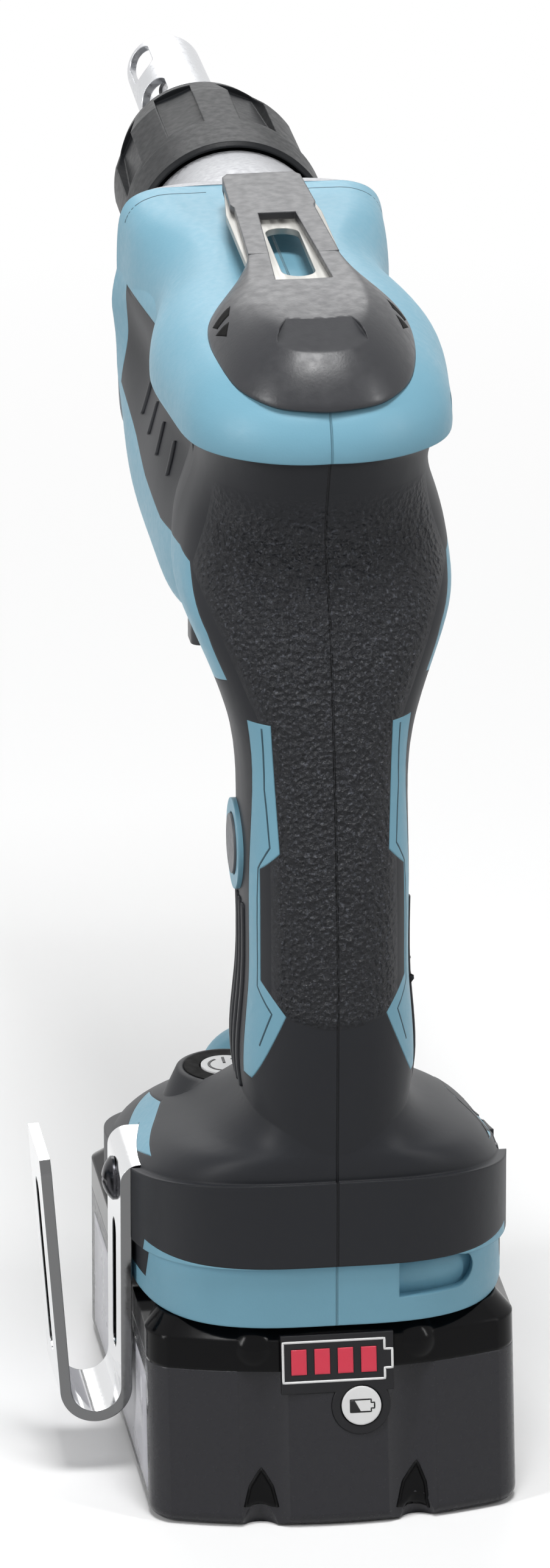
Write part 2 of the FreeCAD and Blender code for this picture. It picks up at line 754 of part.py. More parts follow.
def bit_shape():
    """Cross-point bit: hexagon shank, turned neck and a tapered point with four flutes."""
    high = value("axis_height")
    rear, tip = value(BIT_REAR), value(BIT_TIP)
    shank = hexagon(value("hex_flats"), rear, tip - rear - 14, high)
    neck = cylinder_y(2.5, tip - 15, tip - 7.5, high)
    point = Part.makeCone(3, 0.8, 8, V(0, tip - 8, high), FORWARD)
    bit = shank.fuse([neck, point])
    for index in range(4):
        flute = slab(2.6, high + 0.75, high + 6, tip - 7, tip + 1, x=2.05)
        flute.rotate(V(0, tip, high), RIGHT, -9)
        flute.rotate(V(0, tip, high), FORWARD, 45 + index * 90)
        bit = bit.cut(flute)
    return bit


def make_bushes():
    bush_radius = "spindle_radius + bush_wall"
    node("spindle_bush", turned("spindle_bush", [
        (BUSH_REAR, "spindle_radius + running_gap"), (BUSH_REAR, bush_radius), (BUSH_FRONT, bush_radius),
        (BUSH_FRONT, "spindle_radius + running_gap")]))
    node("rear_bush", turned("rear_bush", [
        (f"{BRACKET_REAR} + 0.5", "journal_radius + running_gap"),
        (f"{BRACKET_REAR} + 0.5", "journal_radius + 2"),
        ("housing_front", "journal_radius + 2"), ("housing_front", "journal_radius + running_gap")]))


# Nose casing, bracket and depth stop

FLANGE_SCREWS = ((-21, 12.5), (21, 12.5), (-20, -30), (20, -30))


def flange_outline(height_y, inset):
    """The casing's front outline, drawn in by the inset."""
    axis = value("axis_height")
    half_width = value("front_half") - inset
    top = value(CAP_TOP) - inset + 0.2
    bottom = axis - value("barrel_drop") + 6.5 + inset
    half = [(0, bottom), (0.62 * half_width, bottom + 0.8), (0.93 * half_width, bottom + 5),
            (half_width, bottom + 13), (half_width, axis - 8), (half_width, axis + 3),
            (0.985 * half_width, axis + 13), (0.9 * half_width, top - 3.2), (0.66 * half_width, top - 0.6),
            (0, top)]
    return ring_curve(both_sides([V(across, height_y, up) for across, up in half]))


def nose_ring(along, top_radius, bottom_drop, half_width):
    """Cross-section of the nose casing: round over the spindle line and deeper below it."""
    axis = value("axis_height")
    points = []
    for index in range(20):
        angle = 2 * math.pi * index / 20
        rise = top_radius if math.sin(angle) > 0 else bottom_drop
        points.append(V(half_width * math.cos(angle), along, axis + rise * math.sin(angle)))
    return ring_curve(points)


def make_nose():
    axis, low = value("axis_height"), value(MOTOR_HEIGHT)
    front = value("housing_front")
    flange_front, dome_end = value(FLANGE), value(SPIGOT_REAR)
    dome = value("dome_radius")
    plate = Part.makeLoft([flange_outline(front, 0), flange_outline(flange_front, 0.4)], True, True)
    sections = ((flange_front - 1, 0, 36), (flange_front + 8, 0.3, 33), (flange_front + 17, 1.2, 26),
                (dome_end, 2.2, dome - 1.6))
    rings = [nose_ring(along, dome - loss, drop, dome - loss) for along, loss, drop in sections]
    shell = Part.makeLoft(rings, True, False)
    taper = Part.makeCone(dome - 3.2, value("spigot_radius") - 0.5, 6, V(0, dome_end - 0.5, axis), FORWARD)
    spigot = cylinder_y(value("spigot_radius"), dome_end - 1, value(SPIGOT_FRONT), axis)
    shape = plate.fuse([shell, taper, spigot])
    gear_room = cylinder_y(value("dome_radius - 3.4"), front - 1, value(GEAR_FRONT) + 1.5, axis)
    cam_room = cylinder_y(value("cam_radius + 0.8"), front, value(SHOULDER), axis)
    pinion_room = cylinder_y(6.5, front - 1, value(PINION_FRONT) + 0.6, low)
    bush_seat = cylinder_y(value("spindle_radius + bush_wall"), value(SHOULDER) - 1, value(BUSH_FRONT), axis)
    passage = cylinder_y(value("spindle_radius + 0.8"), value(BUSH_FRONT) - 1, value(SPIGOT_FRONT), axis)
    spigot_end = value(SPIGOT_FRONT)
    locator_room = cylinder_y(value("thread_radius + 0.5"), value(SPINDLE_FRONT) + 1, spigot_end + 1, axis)
    ring_groove = cylinder_y(30, dome_end + 20, dome_end + 23, axis)
    ring_groove = ring_groove.cut(cylinder_y(value("spigot_radius - 2.1"), dome_end, spigot_end, axis))
    holes = [cylinder_y(value("screw_radius"), front - 1, flange_front + 20, axis + up, across)
             for across, up in FLANGE_SCREWS]
    heads = [cylinder_y(value("screw_head_radius"), flange_front - 0.6, flange_front + 30, axis + up, across)
             for across, up in FLANGE_SCREWS]
    rooms = [gear_room, cam_room, pinion_room, bush_seat, passage, locator_room, ring_groove]
    shape = shape.cut(rooms + holes + heads)
    node("gear_housing", solid("gear_housing", shape.removeSplitter()))
    node("gear_housing_screws", solid("gear_housing_screws", flange_screw_shapes()))
    node("bearing_bracket", solid("bearing_bracket", bracket_shape()))


def flange_screw_shapes():
    axis = value("axis_height")
    head_start = value(FLANGE) - 0.6
    screws = []
    for across, up in FLANGE_SCREWS:
        shank = cylinder_y(value("screw_radius"), head_start - 16, head_start, axis + up, across)
        head = cylinder_y(value("screw_head_radius - 0.2"), head_start, head_start + 2.4, axis + up, across)
        slot = slab(0.9, axis + up - 2, axis + up + 2, head_start + 1.4, head_start + 3, x=across)
        screws.append(shank.fuse(head).cut(slot))
    return Part.makeCompound(screws)


def bracket_shape():
    """Plate behind the gears: a seat for the motor's front bearing and one for the spindle's rear bush."""
    axis, low = value("axis_height"), value(MOTOR_HEIGHT)
    rear, front = value(BRACKET_REAR), value("housing_front")
    upper = cylinder_y(12.5, rear, front, axis)
    lower = cylinder_y(15, rear, front, low)
    web = slab(23, low, axis, rear, front)
    wings = slab(40, low - 5, low + 5, front - 4, front)
    shape = upper.fuse([lower, web, wings])
    seat = cylinder_y(value(FRONT_BEARING_RADIUS), rear - 1, rear + 7, low)
    hole = cylinder_y(value("shaft_radius + 1.5"), rear, front + 1, low)
    bush = cylinder_y(value("journal_radius + 2"), rear + 0.5, front + 1, axis)
    relief = cylinder_y(value("journal_radius + 0.4"), rear - 1, rear + 1, axis)
    return shape.cut([seat, hole, bush, relief]).removeSplitter()


SLEEVE_POCKETS = 8
POCKET_DEPTH = 2
POCKET_SLOPE = 4.2
LOCATOR_SLOTS = ((40, 14, 4.2), (17, 15, 3.4))
LOCATOR_SLOT_ANGLE = 55


def make_depth_stop():
    axis = value("axis_height")
    rear, front = value(SLEEVE_REAR), value(SLEEVE_FRONT)
    bore = "spigot_radius + running_gap"
    thread = "thread_radius + running_gap"
    blank = turned("sleeve_blank", [
        (SLEEVE_REAR, "dome_radius - 1.5"), (SLEEVE_REAR, "sleeve_radius - 0.8"),
        (f"{SLEEVE_REAR} + 0.8", "sleeve_radius"), (f"{SLEEVE_REAR} + 13", "sleeve_radius + 0.3"),
        (f"{SLEEVE_REAR} + 14", "sleeve_radius - 0.3"), (f"{SLEEVE_REAR} + 38", "sleeve_radius - 0.5"),
        (f"{SLEEVE_FRONT} - 5", "sleeve_front_radius"), (SLEEVE_FRONT, "sleeve_front_radius - 3.5"),
        (SLEEVE_FRONT, thread), (f"{SPIGOT_FRONT} + 0.5", thread), (f"{SPIGOT_FRONT} + 0.5", bore),
        (f"{SLEEVE_REAR} + 7", bore), (f"{SLEEVE_REAR} + 7", "dome_radius - 1.5")])
    doc.recompute()
    pockets = []
    for index in range(SLEEVE_POCKETS):
        floor = axis + value("sleeve_radius") - POCKET_DEPTH
        pocket = slab(8.4, floor, axis + 40, rear + 17, front - 9)
        pocket.rotate(V(0, rear + 17, floor), RIGHT, -POCKET_SLOPE)
        pocket.rotate(V(0, rear, axis), FORWARD, (index + 0.5) * 360 / SLEEVE_POCKETS)
        pockets.append(pocket)
    node("depth_sleeve", solid("depth_sleeve", blank.Shape.cut(pockets)))
    ring = doc.addObject("Part::Torus", "sleeve_ring")
    ring.setExpression("Radius1", bound("spigot_radius - 1.1"))
    ring.setExpression("Radius2", bound("0.95"))
    node("sleeve_ring", place(ring, y=f"{SPIGOT_REAR} + 21.5", z="axis_height", along="y"))

    tube = turned("locator_tube", [
        (f"{SPINDLE_FRONT} + 8", "locator_bore"), (f"{SPINDLE_FRONT} + 8", "thread_radius"),
        (f"{SLEEVE_FRONT} + 4", "thread_radius"), (f"{SLEEVE_FRONT} + 5.5", "locator_radius + 0.2"),
        (f"{NOSE_TIP} - 0.8", "locator_radius - 0.4"), (NOSE_TIP, "locator_radius - 1.1"),
        (NOSE_TIP, "locator_bore")])
    doc.recompute()
    shape = tube.Shape
    for back, length, half in LOCATOR_SLOTS:
        for turn in (0, 180):
            start = value(NOSE_TIP) - back + half
            end = start + length - 2 * half
            slot = slab(2 * half, axis, axis + 20, start, end)
            slot = slot.fuse([Part.makeCylinder(half, 20, V(0, along, axis), UP) for along in (start, end)])
            slot.rotate(V(0, 0, axis), FORWARD, turn - LOCATOR_SLOT_ANGLE)
            shape = shape.cut(slot)
    node("locator", solid("locator", shape))


# Belt clip on top

# Play of a piece that is dropped into its seat
SEAT_GAP = 0.05


def flat_plate(right_edge, low, high):
    """A level plate, the same on both sides, from the corners of its right edge."""
    corners = [V(across, along, low) for across, along in right_edge]
    corners += [V(-across, along, low) for across, along in reversed(right_edge)]
    return Part.Face(Part.makePolygon(corners + corners[:1])).extrude(V(0, 0, high - low))


PAD_FRONT = -21.5
PAD_HALF = ((4.3, 0), (9.5, 13.5), (7.6, 18))


def thumb_pad(height):
    """Six-sided pad on the sloping back of the clip's dome; height is that of its front edge."""
    fall = math.radians(15)
    outlines = []
    for sink, spread in ((0, 1), (4, 1.25)):
        half = []
        for across, down in PAD_HALF:
            slope = down * spread
            half.append(V(across * spread, -slope * math.cos(fall), -sink - slope * math.sin(fall)))
        corners = half + [V(-corner.x, corner.y, corner.z) for corner in reversed(half)]
        outline_wire = Part.makePolygon(corners + corners[:1])
        outline_wire.translate(V(0, PAD_FRONT + (spread - 1) * 9, height + (spread - 1) * 2.4))
        outlines.append(outline_wire)
    return Part.makeLoft(outlines, True, True)


CLIP_SCREWS = (-6, 6)
CLIP_SCREW_Y = -16
CLIP_HEAD_RADIUS = 2.9


def make_clip():
    under = value(CLIP_UNDER)
    steel = value("clip_steel")
    top = under + steel
    front = value("clip_front")
    half = value("clip_half")
    plate = flat_plate([(half - 2, front - 3), (half, front - 22), (half, -22)], under, top)
    ends = (1, 25)
    window = slab(7, under - 1, top + 1, *ends)
    window = window.fuse([Part.makeCylinder(3.5, steel + 2, V(0, along, under - 1)) for along in ends])
    screw_radius = value("screw_radius")
    screw_holes = [Part.makeCylinder(screw_radius, 40, V(across, CLIP_SCREW_Y, under - 20))
                   for across in CLIP_SCREWS]
    node("clip_plate", solid("clip_plate", plate.cut([window] + screw_holes)))

    # Cover: dome behind, strip over the plate, and a nose that turns down to the casing
    low = value(RIM) + 9
    crown = top + value("clip_skin")
    rings = [oval(low, -45.5, 20, 20.6, 2.9), oval(low + 4, -44.3, 19, 20.4, 2.9),
             oval(under - 2, -38, 16, 18, 2.8), oval(top, -28, 12, 14.6, 2.6),
             oval(crown + 0.5, -17, 8, 10, 2.4)]
    dome = Part.makeLoft(rings, True, False)
    pad = thumb_pad(crown + 0.3)
    strip_half = [(7, front), (8.2, front - 2), (8.9, front - 20), (8.3, front - 22), (9.4, 8),
                  (11.6, 2), (12.2, -10)]
    strip = flat_plate(strip_half, under, crown)
    lip = slab(14, value(CAP_TOP) + 0.6, crown, front - 6, front)
    opening = flat_plate([(3.9, 34), (5.9, -8)], under - 5, crown + 5)
    belt_room = slab(60, value(RIM), under, 8, front - 6)
    hollow = Part.makeLoft([oval(low - 1, -40, 17, 15.6, 2.9), oval(under - 2.6, -33, 13, 13.6, 2.8)],
                           True, False)
    vents = []
    for side in (-1, 1):
        for along in (-6, 1):
            vent = slab(16, low + 4, low + 7, along, along + 3.4, x=side * 18)
            vent.rotate(V(side * 18, along, low + 5), RIGHT, 35)
            vents.append(vent)
    head_rooms = [Part.makeCylinder(CLIP_HEAD_RADIUS + 0.3, 20, V(across, CLIP_SCREW_Y, under - 20))
                  for across in CLIP_SCREWS]
    cover = dome.fuse([pad, strip, lip]).cut([belt_room, opening, plate, hollow] + vents + head_rooms)
    seat = cap_form(-SEAT_GAP).common(Part.makeBox(50, 400, 50, V(0, -200, low - 1)))
    cover = cover.cut([seat, seat.mirror(V(), RIGHT)])
    node("clip_cover", solid("clip_cover", largest(cover)))
    screws = []
    for across in CLIP_SCREWS:
        shank = Part.makeCylinder(screw_radius, 16, V(across, CLIP_SCREW_Y, under - 16))
        head = Part.makeCylinder(CLIP_HEAD_RADIUS, 1.6, V(across, CLIP_SCREW_Y, under - 1.6))
        screws.append(shank.fuse(head))
    node("clip_screws", solid("clip_screws", Part.makeCompound(screws)))


# Hook and its inserts

HOOK_SEAT = "(base_width / 2 - 0.9)"
HOOK_DROP = 7
HOOK_LIP_BEND = 3


def hook_shape():
    """A flat strap bent in a U beside the base: top lip, inner leg, bend and a leaning outer leg."""
    steel, width = value("hook_steel"), value("hook_width")
    face = -value(HOOK_SEAT)
    low, tall = value("hook_low"), value("hook_tall")
    gap = value("hook_gap")
    lean = 4
    top = value(BUMPER_TOP) - HOOK_DROP
    inner, outer = face - steel / 2, face - steel / 2 - gap - steel
    centre = (inner + outer) / 2
    reach = (inner - outer) / 2
    turn = HOOK_LIP_BEND
    part_way = turn * (1 - math.sqrt(0.5))
    path = Part.Wire([
        Part.LineSegment(V(inner + 7, 0, top), V(inner + turn, 0, top)).toShape(),
        Part.Arc(V(inner + turn, 0, top), V(inner + part_way, 0, top - part_way),
                 V(inner, 0, top - turn)).toShape(),
        Part.LineSegment(V(inner, 0, top - turn), V(inner, 0, low + reach)).toShape(),
        Part.Arc(V(inner, 0, low + reach), V(centre, 0, low), V(outer, 0, low + reach)).toShape(),
        Part.LineSegment(V(outer, 0, low + reach), V(outer - lean, 0, tall - 5)).toShape(),
    ])
    middle = value("hook_middle")
    strap = path.makeOffset2D(steel / 2, openResult=True, fill=False)
    other = path.makeOffset2D(-steel / 2, openResult=True, fill=False)
    ends = [Part.makeLine(strap.OrderedVertexes[end].Point, other.OrderedVertexes[end].Point)
            for end in (0, -1)]
    edges = Part.sortEdges(strap.Edges + other.Edges + ends)[0]
    strap = Part.Face(Part.Wire(edges)).extrude(V(0, width, 0))
    strap.translate(V(0, middle - width / 2, 0))
    blank = Part.makeBox(40, width, tall, V(centre - 40, middle - width / 2, 0))
    top_edges = [edge for edge in blank.Edges if edge.BoundBox.ZMin > tall - 1 and edge.BoundBox.XLength > 30]
    rounded = blank.makeFillet(width / 2 - 2, top_edges)
    strap = strap.cut(blank.cut(rounded))
    slots = []
    legs = ((low + 14, 50, face - steel - 1, face + 1), (low + 14, tall - 16, -90, outer + 3))
    for start, end, x_low, x_high in legs:
        slot = Part.makeBox(x_high - x_low, 6, end - start, V(x_low, middle - 3, start))
        caps = [Part.makeCylinder(3, x_high - x_low, V(x_low, middle, up), RIGHT) for up in (start, end)]
        slots.append(slot.fuse(caps))
    hole_radius, hole_height = value("hook_thread_radius + 0.2"), value("hook_screw_height")
    hole = cylinder_x(hole_radius, face - 8, face + 4, middle, hole_height)
    return strap.cut(slots + [hole])


def make_hook():
    middle, height = value("hook_middle"), value("hook_screw_height")
    face = value(HOOK_SEAT)
    node("hook", solid("hook", hook_shape()))
    inserts = []
    for side in (-1, 1):
        start = side * face - (8 if side > 0 else 0)
        insert = cylinder_x(3.2, start, start + 8, middle, height)
        insert = insert.cut(cylinder_x(value("hook_thread_radius"), start - 1, start + 9, middle, height))
        inserts.append(insert)
    node("hook_inserts", solid("hook_inserts", Part.makeCompound(inserts)))
    outer = -face - value("hook_steel")
    shank = cylinder_x(value("hook_thread_radius"), outer, outer + 9, middle, height)
    ball = Part.makeSphere(6.2, V(outer + 3.6, middle, height))
    ball = ball.common(cylinder_x(4.6, outer - 4, outer, middle, height))
    slot = Part.makeBox(1.2, 12, 1.1, V(outer - 3, middle - 6, height - 0.55))
    node("hook_screw", solid("hook_screw", shank.fuse(ball).cut(slot)))


# Controls

TRIGGER_REAR = "(handle_front - 1)"
SWITCH_FRONT = f"({TRIGGER_REAR} - trigger_travel - 1)"
SWITCH_REAR = f"({SWITCH_FRONT} - switch_depth)"
SWITCH_LOW = "(trigger_low - 8)"
SPRING_POCKET = 5
TRIGGER_FRONT = f"({TRIGGER_REAR} + trigger_reach)"
TRIGGER_TOP = "(trigger_low + trigger_height)"
STEM_HEIGHT = "(trigger_low + trigger_height * 0.55)"
LEVER_LOW = f"({TRIGGER_TOP} + 2.6)"
LEVER_PIVOT = "(handle_front - 6)"
LOCK_FACE = "(-handle_width / 2 - 1.4)"
MODE_X, MODE_Y = "-16", "-3.5"
MODE_HEIGHT = f"({BUMPER_TOP} + 3.4)"


def trigger_shape():
    """Finger lever seen from the side: hollowed front, rounded lower lip, and a stem into the switch."""
    rear, front = value(TRIGGER_REAR), value(TRIGGER_FRONT)
    low, top = value("trigger_low"), value(TRIGGER_TOP)
    half = value("trigger_width / 2")
    tall = top - low
    profile = Part.Wire([
        Part.makeLine(V(-half, rear, low), V(-half, rear, top)),
        Part.makeLine(V(-half, rear, top), V(-half, front, top)),
        Part.Arc(V(-half, front, top), V(-half, front - 5.5, low + 0.5 * tall),
                 V(-half, front - 2, low + 2)).toShape(),
        Part.Arc(V(-half, front - 2, low + 2), V(-half, front - 4, low), V(-half, front - 6, low)).toShape(),
        Part.makeLine(V(-half, front - 6, low), V(-half, rear, low))])
    shape = Part.Face(profile).extrude(V(2 * half, 0, 0))
    boxes = [(edge, edge.BoundBox) for edge in shape.Edges]
    rounded = [edge for edge, box in boxes if box.XLength < 0.01 and box.YMin > rear + 1 and box.ZLength > 10]
    shape = shape.makeFillet(4, rounded)
    stem = cylinder_y(2.6, value(SWITCH_FRONT) - 6, rear + 1, value(STEM_HEIGHT))
    return shape.fuse(stem)


def make_controls():
    node("trigger", solid("trigger", trigger_shape()))
    coil = spring_shape(4.4, 0.9, value(SWITCH_FRONT) - SPRING_POCKET + 0.1, value(TRIGGER_REAR) - 0.1, 5,
                        value(STEM_HEIGHT))
    node("trigger_spring", solid("trigger_spring", coil))
    case = block("switch_case", "switch_width", "switch_depth", "switch_height", y=SWITCH_REAR, z=SWITCH_LOW)
    head = block("switch_head", "switch_width - 6", "switch_depth - 9", "7", y=f"{SWITCH_REAR} + 2",
                 z=f"{SWITCH_LOW} + switch_height")
    stem_hole = rod("switch_stem_hole", "2.7", "16", y=f"{SWITCH_FRONT} - 15", z=STEM_HEIGHT, along="y")
    pin = rod("switch_pin", "2", "5", y=LEVER_PIVOT, z=f"{LEVER_LOW} - 0.3")
    arm = block("switch_arm", "7", f"({LEVER_PIVOT}) + 4 - ({SWITCH_REAR} + 6)", "2", y=f"{SWITCH_REAR} + 6",
                z=f"{LEVER_LOW} - 2.3")
    pocket = rod("switch_spring_pocket", "5.4", "10", y=f"{SWITCH_FRONT} - {SPRING_POCKET}",
                 z=STEM_HEIGHT, along="y")
    body = fuse("switch_joined", case, head, arm, pin)
    node("switch_body", cut("switch_body", body, stem_hole, pocket))

    low, tall = value(LEVER_LOW), value("lever_height")
    pivot = value(LEVER_PIVOT)
    half = value("lever_half")
    bar_middle = value(TRIGGER_FRONT) - 6
    bar = slab(2 * half, low, low + tall, bar_middle - 4, bar_middle + 4)
    bar = bar.makeFillet(2, [edge for edge in bar.Edges if edge.BoundBox.ZLength > 1])
    arm = slab(8, low, low + tall, pivot, bar_middle)
    boss = Part.makeCylinder(4, tall, V(0, pivot, low))
    pin_hole = Part.makeCylinder(2.05, 20, V(0, pivot, low - 5))
    node("reverse_lever", solid("reverse_lever", bar.fuse([arm, boss]).cut(pin_hole).removeSplitter()))

    # Side lock button, round cap in a ring
    spot = {"y": "lock_back", "z": "lock_height", "along": "x"}
    node("lock_button", rod("lock_button", "lock_radius", "5", LOCK_FACE, **spot))
    ring = rod("lock_ring", "lock_ring_radius", "2.4", f"{LOCK_FACE} + 0.5", **spot)
    ring_hole = rod("lock_ring_hole", "lock_radius + 0.3", "6", f"{LOCK_FACE} - 1", **spot)
    node("lock_bezel", cut("lock_bezel", ring, ring_hole))

    # Mode button on the shoulder of the base
    node("mode_button", rod("mode_button", "mode_radius", "2.6", MODE_X, MODE_Y, f"{MODE_HEIGHT} - 1.6"))
    panel = rod("mode_ring", "mode_ring_radius", "2.2", MODE_X, MODE_Y, f"{MODE_HEIGHT} - 1.4")
    panel_hole = rod("mode_ring_hole", "mode_radius + 0.3", "6", MODE_X, MODE_Y, f"{MODE_HEIGHT} - 3")
    node("mode_panel", cut("mode_panel", panel, panel_hole))


# Electronics in the base

TONGUE_TOP = f"({COVER_TOP} + tongue_height)"
CHANNEL_REAR = f"({BATTERY_REAR} + 19)"
TERMINAL_REAR = f"({CHANNEL_REAR} - 6)"
BLADES = (-12, 0, 12)
BLADE_LOW = f"({COVER_TOP} + neck_height + 0.4)"
BLADE_TALL = "(tongue_height - neck_height - 1.2)"
LAMP_HEIGHT = f"({BUMPER_TOP} - 11)"


def make_electronics():
    box = block("controller_box", "54", "42", "7", y="base_rear + 12", z=f"{TONGUE_TOP} + 2.5")
    tray = block("controller_tray", "49", "37", "6", y="base_rear + 14.5", z=f"{TONGUE_TOP} + 4")
    pot = block("controller_fill", "49", "37", "4", y="base_rear + 14.5", z=f"{TONGUE_TOP} + 4")
    node("controller", fuse("controller", cut("controller_shell", box, tray), pot))
    carrier = block("terminal_carrier", "36", "6", "tongue_height - 1", y=TERMINAL_REAR,
                    z=f"{BASE_BOTTOM} + 0.5")
    blade_rear = f"{TERMINAL_REAR} + 6"
    blades = [block(f"terminal_blade_{index}", "1", "18", BLADE_TALL, str(x), blade_rear, BLADE_LOW)
              for index, x in enumerate(BLADES)]
    node("terminal_block", fuse("terminal_block", carrier, *blades))
    node("lamp_lens", rod("lamp_lens", "lamp_radius", "5", "0", "base_front - 7", LAMP_HEIGHT, "y"))


# Battery

def battery_ring(height, inset):
    """Plan outline of the battery: straight sides, rounded corners, and a bowed rear face that leans."""
    lean = value("battery_lean") * height / value(COVER_TOP)
    rear = value(BATTERY_REAR) + lean + inset
    front = value("battery_front") - inset
    half = value("battery_width / 2") - inset
    bow = 9
    corner = 5
    corner_back = rear + bow + corner
    turn = corner * (1 - math.sqrt(0.5))
    inner = half - corner * 0.75
    back_edge = rear + bow * 0.42 + 2.2
    on_turn = rear + bow * 0.72 + turn
    edges = [
        Part.makeLine(V(-half, front - corner, height), V(-half, corner_back, height)),
        Part.Arc(V(-half, corner_back, height), V(-half + turn, on_turn, height),
                 V(-inner, back_edge, height)).toShape(),
        Part.Arc(V(-inner, back_edge, height), V(0, rear, height), V(inner, back_edge, height)).toShape(),
        Part.Arc(V(inner, back_edge, height), V(half - turn, on_turn, height),
                 V(half, corner_back, height)).toShape(),
        Part.makeLine(V(half, corner_back, height), V(half, front - corner, height)),
        Part.Arc(V(half, front - corner, height), V(half - turn, front - turn, height),
                 V(half - corner, front, height)).toShape(),
        Part.makeLine(V(half - corner, front, height), V(-half + corner, front, height)),
        Part.Arc(V(-half + corner, front, height), V(-half + turn, front - turn, height),
                 V(-half, front - corner, height)).toShape(),
    ]
    return Part.Wire(edges)


def battery_level(low, high, inset, draw=0):
    """A layer of the battery; draw is how far its top is drawn in."""
    return Part.makeLoft([battery_ring(low, inset), battery_ring(high, inset + draw)], True, True)


CHECK_DROP = "(gauge_height / 2 + check_radius * 0.75)"


def gauge_plate(thickness):
    """The gauge's panel on the leaning rear face: a plate with a lobe for the check button."""
    wide, tall = value("gauge_width"), value("gauge_height")
    lobe = value("check_radius") + 2
    plate = Part.makeBox(wide, thickness, tall, V(-wide / 2, 0, -tall / 2))
    disc = Part.makeCylinder(lobe, thickness, V(value("check_offset"), 0, -value(CHECK_DROP)), FORWARD)
    return set_on_rear(plate.fuse(disc).removeSplitter())


GAUGE_HEIGHT = "(case_height + 1.6)"
LATCH_DEPTH = 9.4
FLUTE_PLACE = 16.5


def rear_face(height):
    """Place along Y of the middle of the battery's leaning rear face."""
    return value(BATTERY_REAR) + value("battery_lean") * height / value(COVER_TOP)


def set_on_rear(shape):
    """Stand a shape made at the origin on the battery's rear face, leaning with it."""
    lean = math.degrees(math.atan2(value("battery_lean"), value(COVER_TOP)))
    height = value(GAUGE_HEIGHT)
    shape.rotate(V(), RIGHT, -lean)
    shape.translate(V(0, rear_face(height) - 0.2, height))
    return shape


def gauge_bar_shapes(start, thickness):
    bars = []
    for index in range(4):
        bar = Part.makeBox(3.2, thickness, 5.4, V(-9.6 + index * 4.85, start, -2.2))
        bars.append(set_on_rear(bar))
    return bars


def check_disc(radius, start, length):
    centre = V(value("check_offset"), start, -value(CHECK_DROP))
    return set_on_rear(Part.makeCylinder(radius, length, centre, FORWARD))


def cell_spots():
    pitch = value("cell_pitch")
    radius = value("cell_radius")
    first = value("battery_front") - LATCH_DEPTH - 0.4 - radius - 4 * pitch
    low = value("battery_wall") + 0.6 + radius
    return [(first + index * pitch, low + layer * pitch) for layer in range(2) for index in range(5)]


BATTERY_SCREWS = ((-28, 44.5), (28, 44.5), (-20, -55.5), (20, -55.5))
LATCH_LOW = "(case_height - 9)"


